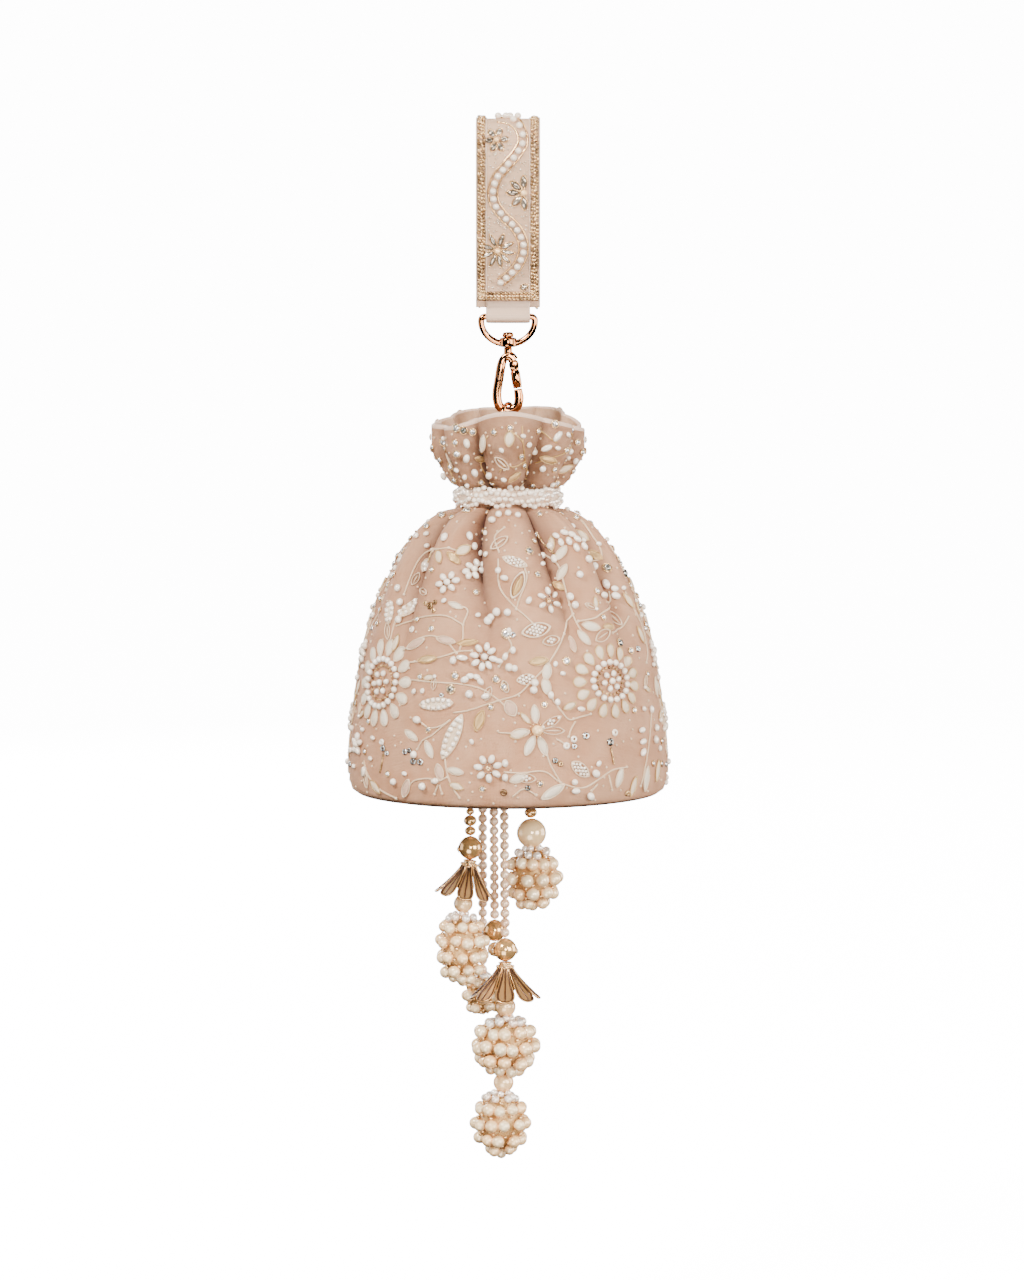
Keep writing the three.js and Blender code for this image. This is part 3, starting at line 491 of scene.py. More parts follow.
    def _towards(self, tree: Tree, colour: Socket, factor: Socket, most: float, shares: Rgb) -> Socket:
        """Paints shade into a colour: mixes it towards shares of the finish's own, by a factor times the most of it."""
        level = wired(tree, "ShaderNodeMath", {0: factor, 1: most}, operation="MULTIPLY")
        other = (*[channel * share for channel, share in zip(self.colour, shares)], 1)
        ends = {"A": colour, "B": other, "Factor": level.outputs["Value"]}
        return wired(tree, "ShaderNodeMix", ends, data_type="RGBA").outputs["Result"]


# The rose net has shade painted into its creases
ROSE_NET = Finish(
    "rose_net", Pattern.NET, (0.54, 0.245, 0.115), (0.62, 0.32, 0.17), 0.7, 1400, 0.0002,
    sheen=0.04, spread=0.0, crease_shade=1.0, cloth_map=True,
)
LINING_SATIN = Finish(
    "lining_satin", Pattern.WEAVE, (0.50, 0.27, 0.14), (0.60, 0.36, 0.21), 0.5, 900, 0.00005,
    sheen=0.05, spread=0.0, cloth_map=True,
)
HEM_SATIN = Finish("hem_satin", Pattern.WEAVE, (0.66, 0.42, 0.29), (0.72, 0.50, 0.36), 0.5, 900, 0.00006, sheen=0.1)
STRAP_SATIN = Finish(
    "strap_satin", Pattern.WEAVE, (0.55, 0.325, 0.185), (0.67, 0.44, 0.28), 0.5, 800, 0.00006,
    sheen=0.06,
)
TAB_SATIN = Finish(
    "tab_satin", Pattern.WEAVE, (0.63, 0.41, 0.27), (0.69, 0.48, 0.335), 0.4, 1000, 0.00004,
    sheen=0.1,
)
PIPING = Finish("piping_cord", Pattern.THREAD, (0.66, 0.45, 0.30), (0.76, 0.56, 0.40), 0.5, 700, 0.0001, sheen=0.1)
CREAM_THREAD = Finish(
    "cream_thread", Pattern.THREAD, (0.74, 0.50, 0.29), (0.86, 0.66, 0.45), 0.42, 900, 0.00012,
    sheen=0.1,
)
WHITE_SATIN = Finish(
    "white_satin_stitch", Pattern.THREAD, (0.78, 0.61, 0.42), (0.92, 0.78, 0.60), 0.4, 800, 0.00018,
    sheen=0.1,
)
CREAM_SATIN = Finish(
    "cream_satin_stitch", Pattern.THREAD, (0.76, 0.54, 0.33), (0.88, 0.70, 0.49), 0.4, 800, 0.00018,
    sheen=0.1,
)
ROSE_SATIN = Finish(
    "rose_satin_stitch", Pattern.THREAD, (0.60, 0.35, 0.22), (0.70, 0.45, 0.30), 0.42, 800, 0.00016,
    sheen=0.1,
)
GOLD_THREAD = Finish(
    "gold_thread", Pattern.THREAD, (0.62, 0.36, 0.13), (0.80, 0.54, 0.25), 0.34, 900, 0.00014,
    metallic=0.5,
)
ROSE_GOLD = Finish(
    "rose_gold", Pattern.METAL, (0.50, 0.195, 0.068), (0.58, 0.245, 0.095), 0.1, 40, 0.00003,
    metallic=1.0,
)
PALE_GOLD = Finish(
    "pale_gold", Pattern.METAL, (0.74, 0.44, 0.19), (0.86, 0.60, 0.32), 0.26, 300, 0.00008,
    metallic=0.8,
)
DARK_GOLD = Finish(
    "old_gold", Pattern.METAL, (0.11, 0.05, 0.018), (0.80, 0.50, 0.23), 0.28, 300, 0.00008,
    metallic=0.85, spread=1.0,
)
BROWN_GOLD = Finish(
    "brown_gold_edge", Pattern.METAL, (0.06, 0.024, 0.008), (0.16, 0.065, 0.024), 0.3, 300, 0.00004,
    metallic=0.5,
)
# The rim of the beads and pearls below is painted shade and warm reflection at their turned-away edges
WHITE_BEAD = Finish(
    "white_bead", Pattern.PEARL, (0.84, 0.68, 0.52), (0.97, 0.87, 0.74), 0.22, 200, 0.00002,
    metallic=0.08, coat=0.7, rim=0.6,
)
CREAM_PEARL = Finish(
    "cream_pearl", Pattern.PEARL, (1.0, 0.62, 0.28), (1.0, 0.82, 0.50), 0.16, 120, 0.00001,
    metallic=0.15, coat=0.9, rim=1.0, spread=1.0,
)
STRING_PEARL = Finish(
    "string_pearl", Pattern.PEARL, (0.74, 0.42, 0.23), (0.92, 0.68, 0.46), 0.16, 120, 0.00001,
    metallic=0.2, coat=0.8, rim=1.0, spread=1.0,
)
GOLD_PEARL = Finish(
    "gold_pearl", Pattern.PEARL, (0.74, 0.40, 0.13), (0.86, 0.54, 0.23), 0.14, 120, 0.00001,
    metallic=0.65, coat=0.8, rim=0.5,
)
BIG_PEARL = Finish(
    "champagne_pearl", Pattern.PEARL, (1.0, 0.64, 0.30), (1.0, 0.77, 0.43), 0.15, 120, 0.00001,
    metallic=0.15, coat=0.8, rim=0.4,
)
CRYSTAL_PEARL = Finish(
    "small_pearl", Pattern.PEARL, (0.88, 0.66, 0.48), (0.99, 0.92, 0.82), 0.12, 120, 0.00001,
    metallic=0.4, coat=1.0, rim=0.6, spread=1.0,
)
CRYSTAL = Finish(
    "clear_crystal", Pattern.GLASS, (0.50, 0.45, 0.39), (0.97, 0.94, 0.90), 0.08, 100, 0.00001,
    metallic=0.7, coat=0.8, spread=1.0,
)
SMOKE_CRYSTAL = Finish(
    "smoke_crystal", Pattern.GLASS, (0.10, 0.085, 0.06), (0.60, 0.55, 0.46), 0.1, 100, 0.00001,
    metallic=0.8, coat=0.8, spread=1.0,
)
SEQUIN = Finish(
    "silver_sequin", Pattern.METAL, (0.16, 0.155, 0.13), (0.80, 0.77, 0.72), 0.16, 200, 0.00002,
    metallic=1.0, spread=1.0,
)
STRAP_SEED = Finish(
    "strap_seed_beads", Pattern.GLASS, (0.52, 0.34, 0.19), (0.88, 0.74, 0.56), 0.25, 200, 0.00002,
    metallic=0.3, coat=0.3, spread=1.0,
)
STRAP_CRYSTAL = Finish(
    "strap_crystal", Pattern.GLASS, (0.10, 0.06, 0.03), (0.74, 0.60, 0.45), 0.1, 100, 0.00001,
    metallic=0.7, coat=0.7, spread=1.0,
)
CAP_GOLD = Finish(
    "petal_gold", Pattern.METAL, (0.62, 0.31, 0.10), (0.82, 0.50, 0.22), 0.22, 200, 0.00003,
    metallic=0.65, coat=0.5,
)
ROSE_PLAIN = Finish(
    "rose_satin_cloth", Pattern.WEAVE, (0.48, 0.25, 0.155), (0.56, 0.33, 0.23), 0.55, 900, 0.00008,
    sheen=0.1,
)


# The camera and the light


@dataclass
class Studio:
    """The photograph's camera, a pale floor and soft lights.

    The camera looks along +Y from above by elevation degrees, at the middle of the frame.
    """

    middle_side: float = 2.0
    middle_height: float = -257.9
    distance: float = 4000.0
    elevation: float = 6.0
    frame_height: float = 640.0
    sensor: float = 36.0
    floor_height: float = -600.0
    floor_size: float = 60000.0
    paper_glow: float = 14.0
    backdrop: float = 14.0

    def axes(self) -> tuple[Array, Array, Array]:
        """Returns the picture's right and up and the way the camera looks."""
        tilt = math.radians(self.elevation)
        up = np.array([0, math.sin(tilt), math.cos(tilt)])
        return np.array([1.0, 0, 0]), up, np.array([0, math.cos(tilt), -math.sin(tilt)])

    def seen(self, points: Array) -> Array:
        """Where points show: (across, drop) in millimetres on the plane through the strap's axis.

        across runs right from that axis and drop runs down from the loop's top. Both are scaled by
        distance / (distance + depth behind the axis).
        """
        right, up, ahead = self.axes()
        middle = np.array([self.middle_side, 0, self.middle_height])
        offset = points - middle
        scale = self.distance / (self.distance + offset @ ahead)
        drop = -self.middle_height * math.cos(math.radians(self.elevation)) - offset @ up * scale
        return np.stack([self.middle_side + offset @ right * scale, drop], -1)

    def build(self) -> None:
        """Makes the camera, the floor, the world and the lights."""
        scene = bpy.context.scene
        _, _, ahead = self.axes()
        middle = Vector((self.middle_side * MM, 0, self.middle_height * MM))
        camera = bpy.data.cameras.new("view")
        camera.lens = self.sensor * self.distance / self.frame_height
        camera.sensor_width = self.sensor
        camera.clip_end = 20
        eye = bpy.data.objects.new("view", camera)
        eye.location = middle - Vector(ahead) * self.distance * MM
        eye.rotation_euler = Vector(ahead).to_track_quat("-Z", "Y").to_euler()
        scene.collection.objects.link(eye)
        scene.camera = eye
        self._floor(scene)
        self._lights(scene, middle)

    def _floor(self, scene: bpy.types.Scene) -> None:
        """Lays a pale floor under the bag that glows a little, like paper on a light table."""
        half = self.floor_size / 2
        mesh = bpy.data.meshes.new("floor")
        corners = [(-half, -half), (half, -half), (half, half), (-half, half)]
        mesh.from_pydata([(x * MM, y * MM, self.floor_height * MM) for x, y in corners], [], [(0, 1, 2, 3)])
        paper = bpy.data.materials.new("floor_paper")
        paper.use_nodes = True
        shader = paper.node_tree.nodes["Principled BSDF"]
        shader.inputs["Base Color"].default_value = (0.93, 0.93, 0.93, 1)
        shader.inputs["Roughness"].default_value = 0.9
        shader.inputs["Emission Color"].default_value = (1, 1, 1, 1)
        shader.inputs["Emission Strength"].default_value = self.paper_glow
        mesh.materials.append(paper)
        floor = bpy.data.objects.new("floor", mesh)
        floor.visible_diffuse = False
        floor.visible_glossy = False
        scene.collection.objects.link(floor)

    def _lights(self, scene: bpy.types.Scene, middle: Vector) -> None:
        """Hangs a bright backdrop that lights nothing, and soft panels that face the bag."""
        world = bpy.data.worlds.new("studio")
        world.use_nodes = True
        world.node_tree.nodes["Background"].inputs["Color"].default_value = (1, 1, 1, 1)
        world.node_tree.nodes["Background"].inputs["Strength"].default_value = self.backdrop
        world.cycles_visibility.diffuse = False
        world.cycles_visibility.glossy = False
        scene.world = world
        panels = (
            ("key", (-1.3, -1.4, 1.7), 0.6, 128.0),
            ("fill", (1.8, -1.6, 0.3), 1.2, 78.0),
            ("front", (0.25, -2.6, 0.3), 0.7, 44.0),
            ("top", (0.1, 0.2, 1.9), 1.2, 30.0),
            ("left", (-2.0, 0.3, 0.1), 1.5, 20.0),
            ("right", (2.0, 0.5, 0.2), 1.5, 52.0),
            ("low", (-0.4, -1.6, -1.1), 1.2, 34.0),
            ("spark", (1.1, -1.9, 0.9), 0.3, 20.0),
            ("back", (-0.7, 2.2, 0.6), 1.4, 50.0),
        )
        for name, place, size, power in panels:
            lamp = bpy.data.lights.new(name, "AREA")
            lamp.size = size
            lamp.energy = power
            holder = bpy.data.objects.new(name, lamp)
            holder.location = middle + Vector(place)
            holder.rotation_euler = (-Vector(place)).to_track_quat("-Z", "Y").to_euler()
            scene.collection.objects.link(holder)


# The pouch's cloth


# The cloth's profile: share of height, radius, share of the creases' depth
PROFILE = (
    (-1, 75.6, 0), (-0.985, 78.4, 0), (-0.93, 79.6, 0), (-0.7, 76.8, 0.03), (-0.5, 72.3, 0.16), (-0.36, 66.5, 0.48),
    (-0.26, 59.3, 0.78), (-0.17, 51.7, 0.96), (-0.1, 43.8, 1), (-0.05, 33.4, 0.8), (-0.03, 22.5, 0.4),
    (0, 21.4, 0.32), (0.11, 22.7, 0.5), (0.2, 28.8, 0.7), (0.42, 33.7, 0.76), (0.7, 38.6, 0.6), (1, 38.6, 0.36),
)
# The creases: degrees round the bag at the rim, the neck and where they fade, and share of depth
FOLDS = (
    (-27, -28, -8, 1.1), (31, 22, 27, 1.0), (66, 66, 54, 0.9), (97, 96, 84, 0.75), (125, 124, 116, 0.85),
    (152, 152, 148, 1.0), (181, 180, 180, 0.85), (208, 208, 213, 1.0), (236, 237, 246, 0.85),
    (265, 266, 279, 0.75), (294, 296, 312, 0.95),
)
# The cloth's rows below the neck: from and to a depth, in how many
LOWER_ROWS = ((0, 0.12, 26), (0.12, 0.45, 40), (0.45, 1, 44))
UPPER_ROWS = 46
ROLL_TURNS = (36, 72, 108, 144)


@dataclass
class PouchCloth:
    """The gathered cloth, as a surface of angle round the bag and share of height.

    Height 1 is the rim, 0 the neck and -1 the base. At an angle a from the front towards +X:
    x = r sin a, y = -r cos a, with r the profile's radius less the crease's depth, and z between the
    neck's height and the rim's or the base's. base and span are the millimetres of cut cloth for a
    radian and for a whole height.
    """

    base: float = 79.6
    span: float = 150.0
    thickness: float = 2.2
    pleat: float = 14.0
    sharpness: float = 0.6
    rim_wave: float = 1.3
    rim_height: float = -143.4
    rim_dip: float = 8.0
    roll_width: float = 1.12
    roll_rise: float = 1.25
    neck_height: float = -187.0
    neck_rise: float = 3.0
    base_height: float = -333.5
    crease_fade: float = 0.4
    fine_fold: float = 0.55
    fine_count: int = 37
    puff: float = 1.1
    columns: int = 660
    profile: Array = field(default_factory=lambda: np.array(PROFILE, float))
    folds: Array = field(default_factory=lambda: np.array(FOLDS, float))

    def crease_at(self, angle: Array, height: Array) -> tuple[Array, Array]:
        """Finds where each point lies between two creases.

        Args:
            angle: angles round the bag, in radians.
            height: shares of height.
        Returns:
            The share of the way from one crease to the next, and the depth there.
        """
        rim, neck, foot, depth = self.folds.T
        above = neck + (rim - neck) * np.clip(height, 0, 1)[..., None]
        below = neck + (foot - neck) * np.clip(-height / self.crease_fade, 0, 1)[..., None]
        starts = np.radians(np.where(height[..., None] >= 0, above, below))
        starts = np.concatenate([starts, starts[..., :1] + 2 * math.pi], -1)
        depths = np.concatenate([depth, depth[:1]])
        turned = starts[..., 0] + np.mod(angle - starts[..., 0], 2 * math.pi)
        k = np.clip((turned[..., None] >= starts).sum(-1) - 1, 0, len(depth) - 1)
        start = np.take_along_axis(starts, k[..., None], -1)[..., 0]
        end = np.take_along_axis(starts, k[..., None] + 1, -1)[..., 0]
        share = (turned - start) / (end - start)
        return share, depths[k] + (depths[k + 1] - depths[k]) * share

    def folded(self, angle: Array, height: Array) -> tuple[Array, Array, Array]:
        """The creases' depth, the gathers between them from 0 to 1, and the share between two creases."""
        share, depth = self.crease_at(angle, height)
        heights, _, creases = self.profile.T
        gather = np.power(np.maximum(np.sin(math.pi * share), 0), self.sharpness)
        return smooth_table(height, heights, creases) * depth * self.pleat * (1 - gather), gather, share

    def point(self, angle: Array, height: Array) -> Array:
        """The cloth's outside at angles and heights of one shape."""
        angle, height = np.broadcast_arrays(np.asarray(angle, float), np.asarray(height, float))
        crease, gather, share = self.folded(angle, height)
        heights, radii, _ = self.profile.T
        near_neck = np.exp(-((height + 0.02) ** 2) / 0.02)
        ripple = np.sin(self.fine_count * angle + 6 * height)
        fine = self.fine_fold * near_neck * ripple * np.sin(math.pi * share)
        puff = self.puff * np.exp(-((height + 0.2) ** 2) / 0.012) * gather
        radius = smooth_table(height, heights, radii) - crease + fine + puff * (height < 0)
        neck = self.neck_height + self.neck_rise * ((1 + np.cos(angle)) / 2) ** 2
        wave = self.rim_wave * (np.sin(3 * angle + 0.9) + 0.6 * np.sin(5 * angle + 2.1))
        end = np.where(height >= 0, self.rim_height - self.rim_dip * np.sin(angle) ** 2 + wave, self.base_height)
        z = neck + (end - neck) * np.abs(height)
        return np.stack([radius * np.sin(angle), -radius * np.cos(angle), z], -1)

    def axes(self, angle: Array, height: Array) -> tuple[Array, Array, Array, Array, Array]:
        """The place and directions on the cloth.

        Args:
            angle: angles in radians, n.
            height: shares of height, n.
        Returns:
            Points, unit vectors round the bag, up the cloth and outwards, and the millimetres for a
            radian and for a whole height, n by 2.
        """
        d = 1e-3
        place = self.point(angle, height)
        round_it = (self.point(angle + d, height) - self.point(angle - d, height)) / (2 * d)
        top, foot = np.clip(height + d, -1, 1), np.clip(height - d, -1, 1)
        upward = (self.point(angle, top) - self.point(angle, foot)) / (top - foot)[:, None]
        out = unit(np.cross(round_it, upward))
        lengths = np.stack([np.linalg.norm(round_it, axis=-1), np.linalg.norm(upward, axis=-1)], -1)
        across = unit(round_it)
        return place, across, np.cross(out, across), out, lengths

    def build(self) -> bpy.types.Object:
        """Builds the outside, the rolled rim and the lining as one closed sheet."""
        angle = math.pi + np.linspace(0, 2 * math.pi, self.columns, endpoint=False)
        lower = [np.linspace(start, end, count)[1:] for start, end, count in LOWER_ROWS]
        height = np.concatenate([np.linspace(1, 0, UPPER_ROWS), -np.concatenate(lower)])
        a, h = np.meshgrid(angle, height)
        outside = self.point(a, h)
        round_it = np.roll(outside, -1, 1) - np.roll(outside, 1, 1)
        down = np.gradient(outside, axis=0)
        inwards = unit(np.cross(round_it, down))
        inside = outside + inwards * self.thickness
        inside[-1] = outside[-1] + [0, 0, self.thickness]
        flat = np.stack([a * self.base, -h * self.span], -1)
        middle = (outside[0] + inside[0]) / 2
        half = (outside[0] - inside[0]) / 2 * self.roll_width
        rise = np.array([0, 0, self.roll_rise])
        rolls = np.array([middle + half * math.cos(turn) + rise * math.sin(turn) for turn in np.radians(ROLL_TURNS)])
        lining_points, lining_flat = inside[::-2], flat[::-2]
        lining_rows = len(lining_points)
        points = np.concatenate([lining_points, rolls[::-1], outside])
        flats = np.concatenate([lining_flat, np.repeat(flat[:1], len(rolls), 0), flat])
        whole = grid(points, True, True, flats)
        # The crease depth goes into the tint attribute, by which the rose net paints shade into its creases; the lining
        # and rolled rim have none
        depth = np.clip(self.folded(a, h)[0] / self.pleat, 0, 1)
        lining_depth = np.zeros((lining_rows + len(rolls), self.columns))
        whole.tint = np.concatenate([lining_depth, depth]).ravel()
        row = np.repeat(np.arange(len(points)), self.columns)
        lining = row < lining_rows - 1
        hem = ~lining & (row < lining_rows + len(rolls) + 1)
        masks = ((lining, LINING_SATIN), (hem, HEM_SATIN), (~lining & ~hem, ROSE_NET))
        layers = [(whole.faces[mask][:, ::-1], finish) for mask, finish in masks]
        cloth = build_split("pouch_outer_cloth", whole, layers, "bag")
        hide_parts("pouch_cloth")
        return cloth


def build_split(
    name: str, whole: Surface, layers: list[tuple[Array, Finish]], body: str
) -> bpy.types.Object:
    """Builds one piece whose finishes share its points.

    Args:
        name: the piece's name.
        whole: the surface with all its points.
        layers: the faces that each finish covers, and the finish.
        body: the CAD body.
    Returns:
        The object.
    """
    faces = np.vstack([part for part, _ in layers])
    piece = build(name, [(replace(whole, faces=faces), layers[0][1])], body)
    index = np.concatenate([np.full(len(part), k) for k, (part, _) in enumerate(layers)])
    for _, finish in layers[1:]:
        piece.data.materials.append(finish.material())
    piece.data.polygons.foreach_set("material_index", index.astype(np.int32))
    return piece


# Beads, stones and leaves that repeat


def outwards(surface: Surface) -> Surface:
    """Turns a closed surface's faces out if the volume that they enclose comes out negative."""
    faces = surface.faces
    a, b, c = (surface.points[faces[:, k]] for k in (0, 1, 2))
    d = surface.points[np.where(faces[:, 3] >= 0, faces[:, 3], faces[:, 2])]
    volume = np.einsum("ij,ij->i", a, np.cross(b, c)) + np.einsum("ij,ij->i", a, np.cross(c, d))
    if volume.sum() >= 0:
        return surface
    quads = faces[:, 3] >= 0
    turned = np.where(quads[:, None], faces[:, ::-1], np.column_stack([faces[:, 2::-1], faces[:, 3]]))
    return replace(surface, faces=turned)


def dome(outline: Array, levels: list[tuple[float, float]]) -> Surface:
    """Stacks a flat outline: at each (scale, height) it is outline*scale, and a middle point closes it."""
    scale = np.array([level for level, _ in levels])[:, None, None]
    height = np.array([level for _, level in levels])
    heights = np.broadcast_to(height[:, None, None], (len(levels), len(outline), 1))
    rings = np.concatenate([outline[None] * scale, heights], -1)
    ends = np.zeros((2, 1, len(outline), 3))
    ends[0, ..., 2] = height[0]
    ends[1, ..., 2] = height[-1]
    return outwards(weld(grid(np.concatenate([ends[0], rings, ends[1]]), round_columns=True)))


def lens(points: int, sharp: float) -> Array:
    """A leaf's outline of length 1 and width 1 along y: x = sin(t) * |sin t|^sharp / 2, y = -cos(t) / 2."""
    turn = np.linspace(0, 2 * math.pi, points, endpoint=False)
    wide = np.sin(turn) * np.abs(np.sin(turn)) ** sharp / 2
    return np.stack([wide, -np.cos(turn) / 2], -1)


def drop_outline(points: int) -> Array:
    """A petal's outline of length 1 and width 1: a lens whose widest place lies two thirds out."""
    turn = np.linspace(0, 2 * math.pi, points, endpoint=False)
    along = -np.cos(turn) / 2
    wide = np.sin(turn) * np.abs(np.sin(turn)) ** 0.25 / 2 * (1 + 0.55 * along)
    return np.stack([wide, along], -1)


BALL = ellipsoid(12, 8)
LITTLE_BALL = ellipsoid(10, 6)
SEED = ellipsoid(8, 4)
FINE_BALL = ellipsoid(20, 14)
BARREL = lathe([(0, -0.5), (0.36, -0.48), (0.5, -0.3), (0.5, 0.3), (0.36, 0.48), (0, 0.5)], 8)
STONE = dome(lens(8, 0.0), [(1.0, 0.0), (1.0, 0.25), (0.62, 0.75), (0.45, 0.8)])
MARQUISE = dome(lens(12, 0.55), [(1.0, 0.0), (1.0, 0.2), (0.66, 0.7), (0.4, 0.78)])
PETAL = dome(drop_outline(14), [(1.0, 0.0), (0.97, 0.45), (0.78, 0.82), (0.4, 1.0)])
LEAF = dome(lens(14, 0.45), [(1.0, 0.0), (0.96, 0.45), (0.72, 0.85), (0.3, 1.0)])
SEQUIN_RING = lathe([(0.5, 0.0), (0.5, 0.3), (0.3, 0.9), (0.16, 0.6), (0.16, 0.0), (0.5, 0.0)], 14)


def outline_tube(outline: Array, wire: float, sides: int = 5) -> Surface:
    """A closed wire round a flat outline of size 1, wire thick in that size."""
    line = np.column_stack([outline, np.full(len(outline), wire * 0.6)])
    return outwards(bar(line, np.array([0.0, 0, 1]), circle(wire, sides), closed=True))


LEAF_CORD = outline_tube(lens(20, 0.45), 0.1)
PETAL_CORD = outline_tube(drop_outline(18), 0.09)
ROUND_CORD = outline_tube(lens(14, 0.0), 0.16)


def tubes(lines: list[Array], ups: list[Array], diameter: float, sides: int = 5) -> Surface:
    """Round cords along several lines, each with pointed ends."""
    return joined([outwards(bar(line, up, circle(diameter, sides))) for line, up in zip(lines, ups)])


def facing(out: Array, along: Array, turn: Array, sizes: Array) -> Array:
    """Frames of copies that lie on a surface.

    Args:
        out: the surface's normals, n by 3.
        along: the surface's second direction, n by 3.
        turn: the copies' turn from it, clockwise seen from outside, in radians, n.
        sizes: width, length and height, n by 3.
    Returns:
        Scaled frames, n by 3 by 3: width, length, height.
    """
    out = unit(out)
    side = unit(np.cross(along, out))
    along = np.cross(out, side)
    c, s = np.cos(turn)[:, None], np.sin(turn)[:, None]
    length = along * c + side * s
    width = side * c - along * s
    return np.stack([width, length, out], 1) * sizes[:, :, None]


# The wrist strap


FINE_ROUTE = 600
# The border's lanes of beads: offset from its middle, size, finish. The raised middle lane's paler gold is a painted
# highlight along the border's crest
BORDER_LANES = ((-1.1, 2.0, DARK_GOLD), (1.05, 2.0, DARK_GOLD), (-0.05, 1.5, PALE_GOLD))
BORDER_PITCH = 1.85
END_BEADS = 16
STREWN_SEEDS = 520
# The strap's flowers: across, drop, the middle pearl, and the petals' turns, length and width
STRAP_FLOWERS = (
    (-5.6, 8.0, 2.6, (20, 85, 150, 205, 265, 320), 4.6, 3.0),
    (7.8, 33.5, 3.6, (0, -48, -90, -140, 178), 6.6, 3.2),
    (-5.2, 62.2, 3.4, (-25, 20, 62, 98, 135, 168, 205, 248, 290), 7.0, 2.4),
    (8.0, 81.0, 0.0, (60,), 4.2, 3.0),
)


